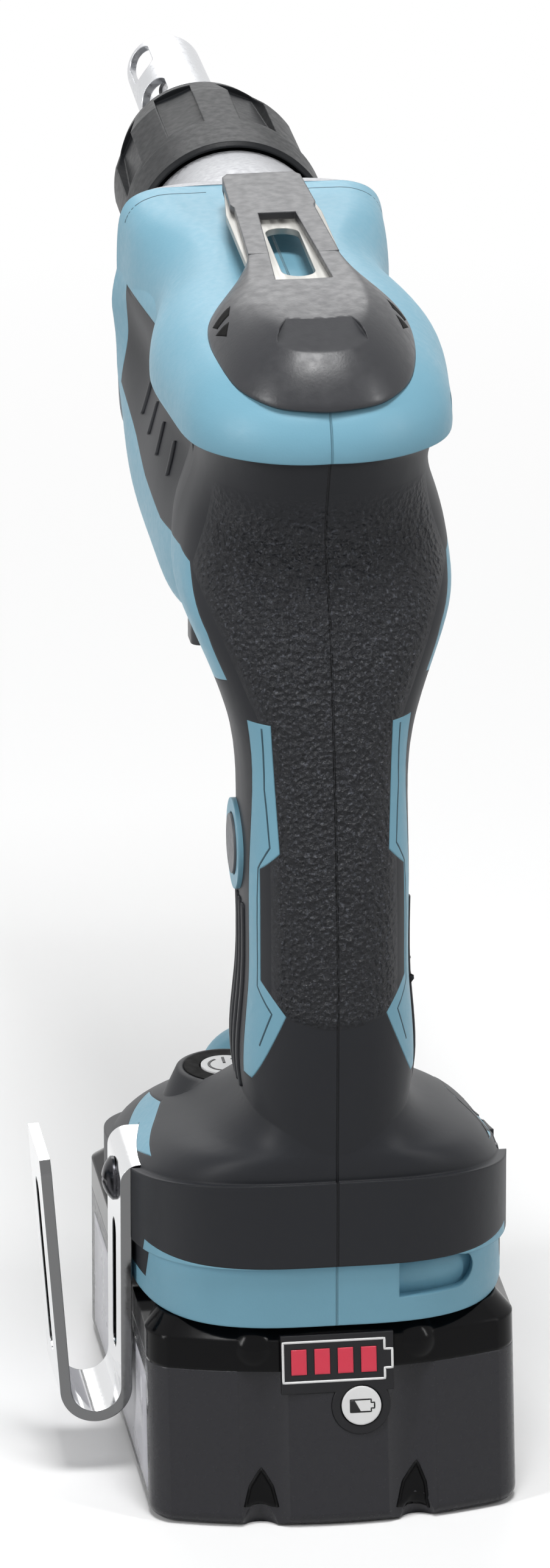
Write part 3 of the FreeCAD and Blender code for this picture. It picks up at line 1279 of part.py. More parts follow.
def make_battery():
    case_top, cover_top = value("case_height"), value(COVER_TOP)
    wall = value("battery_wall")
    front = value("battery_front")
    case = battery_level(0, case_top, 0)
    foot = [edge for edge in case.Edges if edge.BoundBox.ZMax < 0.01]
    case = case.makeFillet(2.5, foot)
    room = battery_level(wall, case_top + 1, wall)
    room = room.cut([slab(15, 0, case_top + 1, -90, value(BATTERY_REAR) + 11, x=side * FLUTE_PLACE)
                     for side in (-1, 1)])
    inside = battery_level(wall, case_top, wall - 0.5)
    bosses = [Part.makeCylinder(3, case_top - wall, V(across, along, wall)).common(inside)
              for across, along in BATTERY_SCREWS]
    case = case.cut(room).fuse(bosses)

    level = battery_level(case_top, cover_top - 3, 0)
    crown = battery_level(cover_top - 3, cover_top, 0, 3)
    tongue = value("tongue_width")
    tongue_top, neck_top = value(TONGUE_TOP), cover_top + value("neck_height")
    channel = value(CHANNEL_REAR)
    neck = slab(tongue - 2 * value("tongue_lip"), cover_top - 1, neck_top, channel + 0.4, front - 7)
    head = slab(tongue, neck_top, tongue_top, channel + 0.4, front - 7)
    bump_height = case_top + 3.8
    below = slab(200, 0, case_top, -200, 200)
    bumps = [Part.makeSphere(5.6, V(side * FLUTE_PLACE, rear_face(bump_height) + 5.9, bump_height)).cut(below)
             for side in (-1, 1)]
    cover = level.fuse([crown, neck, head] + bumps)
    slots = [slab(2, neck_top, tongue_top + 1, channel - 1, channel + 20, x=across) for across in BLADES]
    latch_low = value(LATCH_LOW)
    latch_room = slab(value("latch_width + 0.8"), latch_low - value("latch_travel") - 2, cover_top + 20,
                      front - 7, front + 1)
    latch_wall = slab(value("latch_width + 4.8"), latch_low - 8, 90, front - LATCH_DEPTH, front + 1)
    inner = battery_level(case_top - 1, cover_top - 2, wall).cut(latch_wall)
    hollow = slab(44, cover_top - 4, neck_top - 1.2, channel + 22, front - 14)
    cover = cover.cut([inner, hollow, latch_room] + slots)
    case = case.fuse(latch_wall.common(battery_level(0.1, case_top, 0.2))).cut(latch_room)

    panel = gauge_plate(1.4)
    screws = []
    for across, along in BATTERY_SCREWS:
        screw_head = Part.makeCylinder(2.6, 3.8, V(across, along, 0.2))
        screws.append(Part.makeCylinder(1.5, 19, V(across, along, 3)).fuse(screw_head))
    well = [Part.makeCylinder(2.7, 1.2, V(across, along, -1)) for across, along in BATTERY_SCREWS]
    check_room = check_disc(value("check_radius + 0.25"), 0, 3.2)
    bars = gauge_bar_shapes(-0.1, 1.1)
    flutes = flute_shapes()
    case = case.cut([panel, check_room] + screws + well + flutes)
    cover = cover.cut([panel, check_room])
    node("battery_case", solid("battery_case", max(case.Solids, key=lambda piece: piece.Volume)))
    node("battery_cover", solid("battery_cover", max(cover.Solids, key=lambda piece: piece.Volume)))
    node("gauge_panel", solid("gauge_panel", panel.cut(bars + [check_room])))
    node("gauge_bars", solid("gauge_bars", Part.makeCompound(bars)))
    node("check_button", solid("check_button", check_disc(value("check_radius"), -0.3, 2)))
    node("battery_screws", solid("battery_screws", Part.makeCompound(screws)))

    radius, length = value("cell_radius"), value("cell_length")
    cells = []
    for along, up in cell_spots():
        cap = cylinder_x(3.2, length / 2, length / 2 + 0.8, along, up)
        cells.append(cylinder_x(radius, -length / 2, length / 2, along, up).fuse(cap))
    node("battery_cells", solid("battery_cells", Part.makeCompound(cells)))
    terminals = []
    for across in BLADES:
        for side in (-1, 1):
            leaf = slab(0.4, neck_top, tongue_top - 0.6, channel + 4, channel + 18, x=across + side * 0.75)
            terminals.append(leaf)
    node("battery_terminals", solid("battery_terminals", Part.makeCompound(terminals)))

    wide = value("latch_width")
    button = slab(wide, latch_low, cover_top - 0.4, front - 6.6, front - 0.6)
    thumb = cylinder_x(16, 2 - wide / 2, wide / 2 - 2, front + 13.4, latch_low + 7)
    hook = slab(wide - 10, cover_top - 1, cover_top + 3.2, front - 6.6, front - 2.6)
    node("battery_latch", solid("battery_latch", button.fuse(hook).cut(thumb).removeSplitter()))
    spring_length = value("latch_travel") + 2
    coil = spring_shape(2.4, 0.9, 0, spring_length, 3, 0)
    coil.rotate(V(), RIGHT, 90)
    coil.translate(V(0, front - 3.8, latch_low - spring_length))
    node("latch_spring", solid("latch_spring", coil))


def flute_shapes():
    """Two upright hollows in the rear face, with a deeper notch at the foot of each."""
    rear = value(BATTERY_REAR)
    lean = math.degrees(math.atan2(value("battery_lean"), value(COVER_TOP)))
    cuts = []
    for side in (-1, 1):
        flute = Part.makeCylinder(9, value("case_height") + 2, V(side * FLUTE_PLACE, rear - 6, -1))
        flute.rotate(V(side * FLUTE_PLACE, rear, 0), RIGHT, -lean)
        notch = Part.makeCone(4.2, 0.6, 15, V(side * FLUTE_PLACE, rear + 1.2, -0.5))
        cuts += [flute, notch]
    return cuts


# Casing halves and their soft skins

# Places along Y, with heights over the spindle line for the upper screws and over the bumper for the lower
UPPER_SCREWS = ((-27, 6), (-28, -37), (55, -35))
LOWER_SCREWS = ((-38, 37), (6, -15))
SCREW_HEAD_START = 9


def screw_seats():
    """Screw places on the side of the casing."""
    upper = [(along, value("axis_height") + rise) for along, rise in UPPER_SCREWS]
    return upper + [(along, value(BUMPER_TOP) + rise) for along, rise in LOWER_SCREWS]


def housing_screw_shapes():
    screws = []
    for along, up in screw_seats():
        shank = cylinder_x(value("screw_radius"), 1 - SCREW_HEAD_START, SCREW_HEAD_START, along, up)
        head_end = SCREW_HEAD_START + 2.4
        head = cylinder_x(value("screw_head_radius - 0.15"), SCREW_HEAD_START, head_end, along, up)
        recess = cylinder_x(1.4, SCREW_HEAD_START + 1.2, SCREW_HEAD_START + 3, along, up)
        screws.append(shank.fuse(head).cut(recess))
    return screws


# Outlines seen from the side: what is soft and black, and the hard panels let into it
def black_zone():
    rim = value(RIM)
    axis = value("axis_height")
    front = value("housing_front")
    low = value(BUMPER_BOTTOM)
    return [(-80, low), (-80, rim), (front - 11, rim + 1), (front - 7, axis - 19), (front - 34, axis - 21.4),
            (front - 52, axis - 23.8), (0, axis - 25), (-22, axis - 23), (-29, axis - 24.2),
            (-33, axis - 29.6), (-38.3, axis - 36.5), (-42, axis - 45.5), (-12, axis - 54),
            (6, axis - 60), (70, low + 40), (70, low - 9.6), (-37, low - 9.6), (-40, low)]


def window_zone():
    """Hard panel over the hook on the flank of the base, drawn as seen from its side."""
    top = value(BUMPER_TOP)
    panel = side_prism([(-34, top - 2.8), (-7, top - 1.9), (10, top - 6.5), (-8, top - 10)])
    return panel.common(Part.makeBox(40, 200, 200, V(26, -100, 0)))


def strip_zone():
    """Hard strips beside the back of the handle, drawn as seen from behind."""
    axis = value("axis_height")
    back, front = value("handle_rear") - 5, value("handle_rear") + 14
    corners = [(30, axis - 53), (12.5, axis - 53), (11.2, axis - 79.5), (14.8, axis - 84), (14.8, axis - 108),
               (10.3, axis - 114), (16.4, axis - 130), (30, axis - 130)]
    spots = [V(across, back, up) for across, up in corners]
    return Part.Face(Part.makePolygon(spots + spots[:1])).extrude(V(0, front - back, 0))


# Share of the base's forward fall that the lower edge of its bumper has
BAND_FALL = 0.55


def forms(inset):
    """The casing's outer forms, or the same drawn in; the base is open to the battery below."""
    low, band, top = value(BASE_BOTTOM), value(BUMPER_BOTTOM), value(BUMPER_TOP)
    front = forward_of(value("housing_front"))
    fall = value("base_fall")
    pieces = [shoulder_form(inset), base_form(inset, low, band + 1, 1.2, 0, fall * BAND_FALL),
              base_form(inset, band, top - inset, 0, fall * BAND_FALL, fall), barrel_form(inset)]
    return handle_form(inset).fuse(pieces).cut(front)


def lamp_pod():
    """Hump on the front of the base that carries the lamp."""
    low, high = value(BASE_BOTTOM) + 4, value(BUMPER_TOP)
    front = value("base_front")
    rings = [oval(low, front - 26, front - 2, 19), oval(high - 14, front - 24, front - 2.4, 17.5),
             oval(high - 7, front - 21, front - 4, 15), oval(high - 3, front - 17, front - 7, 10.5)]
    return Part.makeLoft(rings, True, False)


def hook_recess():
    """Flat seat for the hook on the base's side, with a slot for its bent top."""
    seat, half = value(HOOK_SEAT), value("hook_width / 2") + 0.4
    middle, steel = value("hook_middle"), value("hook_steel")
    face = Part.makeBox(20, 2 * half, 80, V(seat, middle - half, 0))
    slot_low = value(BUMPER_TOP) - HOOK_DROP - steel / 2 - 0.2
    slot = Part.makeBox(12, 2 * half, steel + 0.4, V(seat - 7, middle - half, slot_low))
    mouth_low = value(BUMPER_TOP) - HOOK_DROP - HOOK_LIP_BEND - 0.2
    mouth_corner = V(seat - 2, middle - half, mouth_low)
    mouth = Part.makeBox(HOOK_LIP_BEND, 2 * half, slot_low + 1 - mouth_low, mouth_corner)
    return [face, slot, mouth]


# Front end of the room for the controller
CONTROL_FRONT = 4


def inner_room():
    """Room inside the casing, with the motor's ribs, screw posts and front pillars left standing."""
    axis, low = value("axis_height"), value(MOTOR_HEIGHT)
    wall, front = value("wall"), value("housing_front")
    roof, floor = value(BUMPER_TOP) - 1.5, value(TONGUE_TOP) + 2.5
    handle = handle_form(wall).common(slab(200, roof - 4, axis + 40, -200, 200))
    barrel = barrel_form(wall).cut(forward_of(front - 2))
    crown = cap_form(wall).cut(forward_of(front - 2))
    base = base_form(wall, floor, roof, 0, 0, value("base_fall")).cut(forward_of(CONTROL_FRONT))
    room = handle.fuse([barrel, crown, base])
    bearing_place, stack = value("rear_bearing_place"), value("stator_place")
    stack_end = stack + value("stator_length")
    standing = []
    bearing_end = bearing_place + value("bearing_width")
    stator = value("stator_radius")
    for start, end, radius in ((bearing_place, bearing_end, value("bearing_radius")),
                               (stack + 4, stack + 7, stator), (stack_end - 7, stack_end - 4, stator)):
        rib = slab(100, low - 26, axis + 12, start, end)
        standing.append(rib.cut(cylinder_y(radius + SEAT_GAP, start - 1, end + 1, low)))
    standing += [cylinder_x(4.2, -40, 40, along, up) for along, up in screw_seats()]
    standing += [cylinder_y(4.2, front - 18, front, axis + up, across) for across, up in FLANGE_SCREWS]
    return room.cut(standing)


def control_slots():
    """Battery channel and openings for the trigger and the lever, which cut the soft skin too."""
    room = value("tongue_width / 2") + 0.5
    bottom, tongue, rear = value(BASE_BOTTOM), value(TONGUE_TOP), value(CHANNEL_REAR)
    lips = value(COVER_TOP) + value("neck_height") - 0.4
    lever_low, lever_high = value(LEVER_LOW) - 0.4, value(LEVER_LOW) + value("lever_height") + 0.6
    trigger_low, trigger_high = value("trigger_low - 0.5"), value(TRIGGER_TOP) + 0.5
    return [
        slab(2 * (room - value("tongue_lip")), bottom - 1, tongue, rear, 90),
        slab(2 * room, lips, tongue + 0.6, rear, 90),
        slab(value("latch_width - 9"), bottom - 1, bottom + 3.6, value("battery_front") - 7, 90),
        slab(value("trigger_width + 0.8"), trigger_low, trigger_high, value(SWITCH_FRONT), 60),
        slab(12, lever_low, lever_high, value(LEVER_PIVOT) - 5, 40),
        slab(120, lever_low, lever_high, value(TRIGGER_FRONT) - 15, 40),
        nodes["lamp_lens"].Shape,
        nodes["hook_inserts"].Shape,
    ]


def shared_seats():
    """Seats of fixed pieces, the same on both sides of the middle plane."""
    front, axis = value("housing_front"), value("axis_height")
    seats = [
        slab(40.2, value(MOTOR_HEIGHT) - 16, axis + 13, value(BRACKET_REAR), front),
    ]
    seats += [nodes[name].Shape for name in ("switch_body", "controller", "terminal_block", "clip_screws")]
    radius = value("screw_radius")
    seats += [cylinder_y(radius, front - 14, front, axis + up, across) for across, up in FLANGE_SCREWS]
    return seats + [cylinder_x(radius, 0, SCREW_HEAD_START, along, up) for along, up in screw_seats()]


def left_holes():
    """Lock button and mode button with their rings."""
    lock_y, lock_z, lock_face = value("lock_back"), value("lock_height"), value(LOCK_FACE)
    mode_spot = V(value(MODE_X), value(MODE_Y), value(MODE_HEIGHT) - 1.4)
    return [
        cylinder_x(value("lock_radius + 0.3"), -60, -5, lock_y, lock_z),
        cylinder_x(value("lock_ring_radius"), -60, lock_face + 2.9, lock_y, lock_z),
        Part.makeCylinder(value("mode_ring_radius"), 40, mode_spot),
        Part.makeCylinder(value("mode_radius + 0.3"), 5, mode_spot - V(0, 0, 2.6)),
    ]


def right_holes():
    """Screw heads, and the opening in the band above the battery."""
    low, high = value(BASE_BOTTOM) + 5.4, value(BUMPER_BOTTOM)
    opening = slab(12, low, high, -90, value("base_rear") + 14, x=19)
    end_centre = V(25, value("base_rear") + 14, (low + high) / 2)
    round_end = Part.makeCylinder((high - low) / 2, 120, end_centre, -FORWARD)
    opening = opening.fuse(round_end)
    return [opening] + [cylinder_x(value("screw_head_radius"), SCREW_HEAD_START, 60, along, up)
                        for along, up in screw_seats()]


def make_casing():
    """Both halves are made from the right one; then each gets its own holes."""
    right = Part.makeBox(100, 400, 400, V(0, -200, -50))
    outer = forms(0).common(right).cut(hook_recess())
    cap = cap_form(0).cut(forward_of(value("housing_front"))).common(right)
    drawn_in = forms(value("skin")).common(right)
    doc.recompute()
    slots = control_slots()
    soft = outer.cut([drawn_in, cap]).common(side_prism(black_zone()))
    soft = soft.cut([strip_zone(), window_zone()])
    pod = lamp_pod().common(right)
    soft = soft.cut(pod)
    hard = outer.fuse([cap, pod]).cut([soft, inner_room().common(right)]).cut(slots + shared_seats())
    soft = soft.cut(slots)
    for name, whole in (("housing", hard), ("grip", soft)):
        left_half = whole.mirror(V(), RIGHT).cut(left_holes())
        right_half = whole.cut(right_holes())
        node(f"{name}_left", solid(f"{name}_left", largest(left_half)))
        node(f"{name}_right", solid(f"{name}_right", largest(right_half)))
    node("housing_screws", solid("housing_screws", Part.makeCompound(housing_screw_shapes())))


def largest(shape):
    """The main solid of a shape, without crumbs that a cut can leave."""
    return max(shape.Solids, key=lambda piece: piece.Volume)


make_motor()
make_gears()
make_bushes()
make_spindle()
make_nose()
make_depth_stop()
make_clip()
make_hook()
make_controls()
make_electronics()
make_battery()
make_casing()
doc.recompute()

for thing in doc.Objects:
    if "Invalid" in thing.State or "Error" in thing.State:
        raise RuntimeError(f"{thing.Label} did not build")
for name, thing in nodes.items():
    if thing.Shape.isNull() or not thing.Shape.isValid():
        raise RuntimeError(f"{name} has no valid shape")

os.makedirs("parts", exist_ok=True)
for name, thing in nodes.items():
    thing.Shape.exportStep(f"parts/{name}.step")
print(len(nodes), "pieces written")
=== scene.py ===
import json
import math

import bmesh
import bpy
from mathutils import Matrix, Vector
from mathutils.bvhtree import BVHTree


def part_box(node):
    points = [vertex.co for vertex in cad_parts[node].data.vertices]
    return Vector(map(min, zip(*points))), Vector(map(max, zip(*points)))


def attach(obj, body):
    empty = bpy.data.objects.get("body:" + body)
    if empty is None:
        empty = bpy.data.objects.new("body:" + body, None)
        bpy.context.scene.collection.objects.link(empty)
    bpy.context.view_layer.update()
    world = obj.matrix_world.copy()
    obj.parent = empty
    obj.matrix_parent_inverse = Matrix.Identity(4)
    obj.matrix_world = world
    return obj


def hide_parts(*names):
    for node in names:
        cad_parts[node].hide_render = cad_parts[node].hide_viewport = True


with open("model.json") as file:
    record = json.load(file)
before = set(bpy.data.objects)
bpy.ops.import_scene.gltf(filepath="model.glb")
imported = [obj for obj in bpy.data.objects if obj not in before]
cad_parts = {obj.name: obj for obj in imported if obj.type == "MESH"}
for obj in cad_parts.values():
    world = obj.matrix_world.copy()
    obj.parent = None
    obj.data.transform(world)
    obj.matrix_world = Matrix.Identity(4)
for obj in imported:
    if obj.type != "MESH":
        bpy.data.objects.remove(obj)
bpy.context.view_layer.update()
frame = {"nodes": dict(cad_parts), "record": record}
nodes = frame["nodes"]
MM = 0.001
RIGHT = Vector((1, 0, 0))
AHEAD = Vector((0, 1, 0))
UP = Vector((0, 0, 1))


# Materials

# Most values of a noise texture lie between these
NOISE_SPAN = (0.3, 0.7)
# Distances from the middle plane between which the parting line's groove rises to the surface
SEAM_EDGES = (0.08 * MM, 0.3 * MM)


class Look:
    """A procedural material under construction: its node tree, its shader and a few shorthand calls."""

    def __init__(self, name, colour, roughness, metallic=0.0, specular=0.5):
        self.material = bpy.data.materials.new(name)
        self.material.use_nodes = True
        self.tree = self.material.node_tree
        self.shader = self.tree.nodes["Principled BSDF"]
        self.colour = colour
        self.shader.inputs["Base Color"].default_value = (*colour, 1)
        self.shader.inputs["Roughness"].default_value = roughness
        self.shader.inputs["Metallic"].default_value = metallic
        self.shader.inputs["Specular IOR Level"].default_value = specular
        self.place = self.add("ShaderNodeTexCoord").outputs["Object"]
        self.bumped = None

    def add(self, kind, **settings):
        node = self.tree.nodes.new(kind)
        for key, setting in settings.items():
            setattr(node, key, setting)
        return node

    def link(self, output, socket):
        self.tree.links.new(output, socket)

    def math(self, operation, first, second=0.0):
        node = self.add("ShaderNodeMath", operation=operation)
        for socket, given in zip(node.inputs, (first, second)):
            if isinstance(given, (int, float)):
                socket.default_value = given
            else:
                self.link(given, socket)
        return node.outputs[0]

    def axis(self, letter):
        split = self.add("ShaderNodeSeparateXYZ")
        self.link(self.place, split.inputs[0])
        return split.outputs[letter]

    def ramp(self, source, low, high, start=0.0, end=1.0):
        """Map a value between low and high to one between start and end."""
        node = self.add("ShaderNodeMapRange")
        self.link(source, node.inputs["Value"])
        for socket, given in zip(("From Min", "From Max", "To Min", "To Max"), (low, high, start, end)):
            node.inputs[socket].default_value = given
        return node.outputs[0]

    def noise(self, scale, detail=2.0, stretch=None):
        node = self.add("ShaderNodeTexNoise")
        node.inputs["Scale"].default_value = scale
        node.inputs["Detail"].default_value = detail
        self.link(self.stretched(stretch), node.inputs["Vector"])
        return node.outputs["Fac"]

    def cells(self, scale):
        node = self.add("ShaderNodeTexVoronoi")
        node.inputs["Scale"].default_value = scale
        self.link(self.place, node.inputs["Vector"])
        return node.outputs["Distance"]

    def stretched(self, stretch):
        if stretch is None:
            return self.place
        node = self.add("ShaderNodeMapping")
        node.inputs["Scale"].default_value = stretch
        self.link(self.place, node.inputs["Vector"])
        return node.outputs[0]

    def soften(self, radius_mm):
        """Round the sharp moulded edges in the shading."""
        node = self.add("ShaderNodeBevel", samples=6)
        node.inputs["Radius"].default_value = radius_mm * MM
        self.bumped = node.outputs[0]
        self.link(self.bumped, self.shader.inputs["Normal"])

    def bump(self, height, depth_mm):
        node = self.add("ShaderNodeBump")
        node.inputs["Strength"].default_value = 1.0
        node.inputs["Distance"].default_value = depth_mm * MM
        self.link(height, node.inputs["Height"])
        if self.bumped:
            self.link(self.bumped, node.inputs["Normal"])
        self.bumped = node.outputs[0]
        self.link(self.bumped, self.shader.inputs["Normal"])

    def vary(self, source, darker, lighter):
        """Let the colour drift between a darker and a lighter shade of itself."""
        mix = self.add("ShaderNodeMix", data_type="RGBA")
        self.link(source, mix.inputs["Factor"])
        mix.inputs["A"].default_value = (*(darker * part for part in self.colour), 1)
        mix.inputs["B"].default_value = (*(min(1, lighter * part) for part in self.colour), 1)
        self.link(mix.outputs["Result"], self.shader.inputs["Base Color"])

    def rough(self, source, low, high):
        """Let the roughness follow a noise."""
        self.link(self.ramp(source, *NOISE_SPAN, low, high), self.shader.inputs["Roughness"])

    def seam(self, depth_mm=0.25):
        """The parting line of the two half shells, on the middle plane."""
        off_middle = self.math("ABSOLUTE", self.axis("X"))
        self.bump(self.ramp(off_middle, *SEAM_EDGES), depth_mm)


def moulded(name, colour, roughness, grain_mm=0.45, depth_mm=0.02, seam=False, specular=0.5, edge_mm=0.5):
    """Moulded plastic: fine eroded grain, drifting gloss, a hint of colour drift and rounded edges."""
    grain = 1 / (grain_mm * MM)
    look = Look(name, colour, roughness, specular=specular)
    look.soften(edge_mm)
    look.vary(look.noise(scale=55, detail=3), darker=0.93, lighter=1.06)
    look.rough(look.noise(scale=grain * 0.3), roughness - 0.05, roughness + 0.06)
    look.bump(look.noise(scale=grain), depth_mm)
    if seam:
        look.seam()
    return look


def metal(name, colour, roughness, brushed=None):
    """Bare metal: fine marks, drawn out along one way where it was brushed or turned."""
    look = Look(name, colour, roughness, metallic=1.0)
    look.soften(radius_mm=0.3)
    marks = look.noise(scale=900, detail=4, stretch=brushed)
    look.rough(marks, roughness * 0.75, roughness * 1.35)
    look.bump(marks, depth_mm=0.006)
    look.vary(look.noise(scale=70), darker=0.9, lighter=1.05)
    return look


def plated_strap():
    """Bright plated strap with painted shade on its cut edges, which face forward and back."""
    look = metal("chrome_steel", (0.74, 0.745, 0.755), 0.09)
    facing = look.add("ShaderNodeSeparateXYZ")
    look.link(look.add("ShaderNodeTexCoord").outputs["Normal"], facing.inputs[0])
    # Painted shade: faces turned forward or back are darkened
    edge = look.ramp(look.math("ABSOLUTE", facing.outputs["Y"]), 0.6, 0.9)
    look.vary(look.math("SUBTRACT", 1.0, edge), darker=0.22, lighter=1.0)
    return look


# Where the soft plastic is pebbled: between which heights its half width grows, and from what to what
PEBBLES_WIDEN = (168 * MM, 202 * MM, 12.5 * MM, 26.5 * MM)
# Where the pebbles fade out: at the sides, at the lower and the upper end, and in front
PEBBLES_SIDE = (-0.5 * MM, 1.2 * MM)
PEBBLES_LOW = (108.5 * MM, 110 * MM)
PEBBLES_HIGH = (219 * MM, 207 * MM)
PEBBLES_FRONT = (-30 * MM, -33 * MM)
# Rise of the lower end, for the square of the distance from the middle
PEBBLES_RISE = 22.0


def soft_grip():
    """Black soft plastic: pebbled on the palm and the back of the handle, smooth on the rest; painted glints
    speck the palm.
    """
    look = Look("soft_black", (0.0175, 0.0187, 0.0222), 0.5, specular=0.2)
    look.soften(radius_mm=0.7)
    across = look.math("ABSOLUTE", look.axis("X"))
    height = look.axis("Z")
    half_width = look.ramp(height, *PEBBLES_WIDEN)
    middle = look.ramp(look.math("SUBTRACT", half_width, across), *PEBBLES_SIDE)
    rise = look.math("MULTIPLY", look.math("MULTIPLY", across, across), PEBBLES_RISE)
    above = look.ramp(look.math("SUBTRACT", height, rise), *PEBBLES_LOW)
    below = look.ramp(height, *PEBBLES_HIGH)
    behind = look.ramp(look.axis("Y"), *PEBBLES_FRONT)
    palm = middle
    for limit in (above, behind, below):
        palm = look.math("MULTIPLY", palm, limit)
    fine = look.math("MULTIPLY", look.noise(scale=1300, detail=3), 0.9)
    pebbles = look.math("ADD", look.cells(scale=820), fine)
    look.bump(look.math("MULTIPLY", pebbles, palm), depth_mm=0.85)
    look.bump(look.noise(scale=2600), depth_mm=0.012)
    look.seam(depth_mm=0.4)
    # Painted highlights: bright flecks of colour on the palm stand in for glints off the pebbles
    painted_glints = look.ramp(look.noise(scale=1500, detail=3), 0.56, 0.70)
    look.vary(look.math("MULTIPLY", painted_glints, palm), darker=1.0, lighter=4.2)
    look.link(look.ramp(palm, 0, 1, 0.46, 0.27), look.shader.inputs["Roughness"])
    return look


# Looks of the record's slots: colour, roughness, and what else sets each of them apart
LOOKS = {
    "teal_shell": moulded("teal_shell", (0.192, 0.405, 0.520), 0.42, seam=True, specular=0.3),
    "soft_black": soft_grip(),
    "cast_metal": metal("cast_metal", (0.36, 0.365, 0.38), 0.48),
    "nose_metal": metal("nose_metal", (0.62, 0.63, 0.65), 0.32),
    "sleeve_dark": moulded("sleeve_dark", (0.011, 0.012, 0.0135), 0.40, specular=0.12),
    "black_plastic": moulded("black_plastic", (0.018, 0.019, 0.023), 0.36, grain_mm=0.6),
    "battery_black": moulded("battery_black", (0.018, 0.018, 0.022), 0.24, grain_mm=0.4,
                             depth_mm=0.012, specular=0.3),
    "battery_gloss": moulded("battery_gloss", (0.0015, 0.0015, 0.002), 0.13, grain_mm=6,
                             specular=0.12, edge_mm=0.9),
    "grey_plastic": moulded("grey_plastic", (0.10, 0.105, 0.115), 0.45),
    "white_plastic": moulded("white_plastic", (0.82, 0.82, 0.82), 0.4),
    "lamp": moulded("lamp", (0.8, 0.82, 0.8), 0.15),
    "chrome_steel": plated_strap(),
    "clip_steel": metal("clip_steel", (0.36, 0.355, 0.335), 0.42, brushed=(1, 0.05, 1)),
    "steel": metal("steel", (0.5, 0.5, 0.51), 0.3),
    "screw_steel": metal("screw_steel", (0.32, 0.32, 0.33), 0.35),
    "brass": metal("brass", (0.72, 0.53, 0.25), 0.3),
    "lamination": metal("lamination", (0.25, 0.25, 0.26), 0.45, brushed=(0.05, 3, 0.05)),
    "magnet": metal("magnet", (0.35, 0.35, 0.36), 0.35),
    "copper": metal("copper", (0.75, 0.36, 0.2), 0.3, brushed=(1, 0.1, 1)),
    "board": moulded("board", (0.03, 0.12, 0.06), 0.4),
    "cell": moulded("cell", (0.1, 0.3, 0.36), 0.35),
    "gauge_red": moulded("gauge_red", (0.72, 0.03, 0.07), 0.2),
    "rubber_ring": moulded("rubber_ring", (0.02, 0.02, 0.02), 0.6),
}
WHITE_PAINT = moulded("white_paint", (0.86, 0.86, 0.86), 0.35, specular=0.4)
BLACK_PAINT = moulded("black_paint", (0.01, 0.01, 0.011), 0.35, specular=0.3)
DEEP_BLACK = moulded("deep_black", (0.003, 0.003, 0.003), 0.7, specular=0.1)
# Painted shade of engraved lines and grooves in the teal casing: a dark teal
GROOVE_SHADE_TEAL = moulded("teal_groove_shade", (0.035, 0.085, 0.115), 0.5, specular=0.25)
LABEL_GREY = moulded("label_grey", (0.52, 0.52, 0.56), 0.3, grain_mm=3, depth_mm=0.01)
GAUGE_BLACK = moulded("gauge_black", (0.012, 0.012, 0.014), 0.35, specular=0.25)
BLACK_SCREW = metal("black_screw", (0.05, 0.05, 0.055), 0.22)

# Nodes that don't look like the rest of their slot
OWN_LOOKS = {
    "mode_button": WHITE_PAINT,
    "mode_panel": DEEP_BLACK,
    "hook_screw": BLACK_SCREW,
    "gauge_panel": GAUGE_BLACK,
    "hook_inserts": BLACK_SCREW,
}

for part in frame["record"]["subparts"]:
    piece = nodes[part["node"]]
    piece.data.materials.clear()
    look = OWN_LOOKS.get(part["node"], LOOKS[part["material_slot"]])
    piece.data.materials.append(look.material)


# Camera at the photograph's angle: the frame is taken as 903 by 2576

PHOTO = (903, 2576)
AZIMUTH = math.radians(-7.7)
ELEVATION = math.radians(21)
DISTANCE = 2.8
PIXELS_PER_METRE = 8000
SEEN_POINT = Vector((0, -0.060, 0.066))
SEEN_PIXEL = (555, 2010)

BACK = Vector((math.sin(AZIMUTH) * math.cos(ELEVATION), -math.cos(AZIMUTH) * math.cos(ELEVATION),
               math.sin(ELEVATION)))
ACROSS = Vector((math.cos(AZIMUTH), math.sin(AZIMUTH), 0))
ABOVE = BACK.cross(ACROSS)


def from_middle(pixel):
    """Offset of a photograph's pixel from the middle of the frame, at the seen point's distance."""
    aside = (pixel[0] - PHOTO[0] / 2) / PIXELS_PER_METRE
    above = (PHOTO[1] / 2 - pixel[1]) / PIXELS_PER_METRE
    return ACROSS * aside + ABOVE * above


EYE = SEEN_POINT + BACK * DISTANCE - from_middle(SEEN_PIXEL)


def photo_camera():
    data = bpy.data.cameras.new("photo_camera")
    data.sensor_fit = "VERTICAL"
    data.sensor_height = 36
    data.lens = PIXELS_PER_METRE * DISTANCE / PHOTO[1] * data.sensor_height
    data.clip_end = 30
    camera = bpy.data.objects.new("photo_camera", data)
    camera.matrix_world = Matrix((
        (ACROSS.x, ABOVE.x, BACK.x, EYE.x),
        (ACROSS.y, ABOVE.y, BACK.y, EYE.y),
        (ACROSS.z, ABOVE.z, BACK.z, EYE.z),
        (0, 0, 0, 1)))
    bpy.context.scene.collection.objects.link(camera)
    bpy.context.scene.camera = camera


# Points and surfaces that the small details are laid on

SURFACES = {}


def surface(name):
    if name not in SURFACES:
        SURFACES[name] = BVHTree.FromObject(nodes[name], bpy.context.evaluated_depsgraph_get())
    return SURFACES[name]


def seen(name, *pixels):
    """Points on a surface under pixels of the photograph."""
    spots = []
    for pixel in pixels:
        ray = from_middle(pixel) - BACK * DISTANCE
        spot = surface(name).ray_cast(EYE, ray.normalized())[0]
        if spot is None:
            raise ValueError(f"{name} isn't seen at {pixel}")
        spots.append(spot)
    return spots


def points(*spots):
    return [Vector(spot) * MM for spot in spots]


def mirrored(spots):
    return [Vector((-spot.x, spot.y, spot.z)) for spot in spots]


def both_sides(spots):
    """Points of the left side, and their mirror image on the right."""
    return ("left", spots), ("right", mirrored(spots))


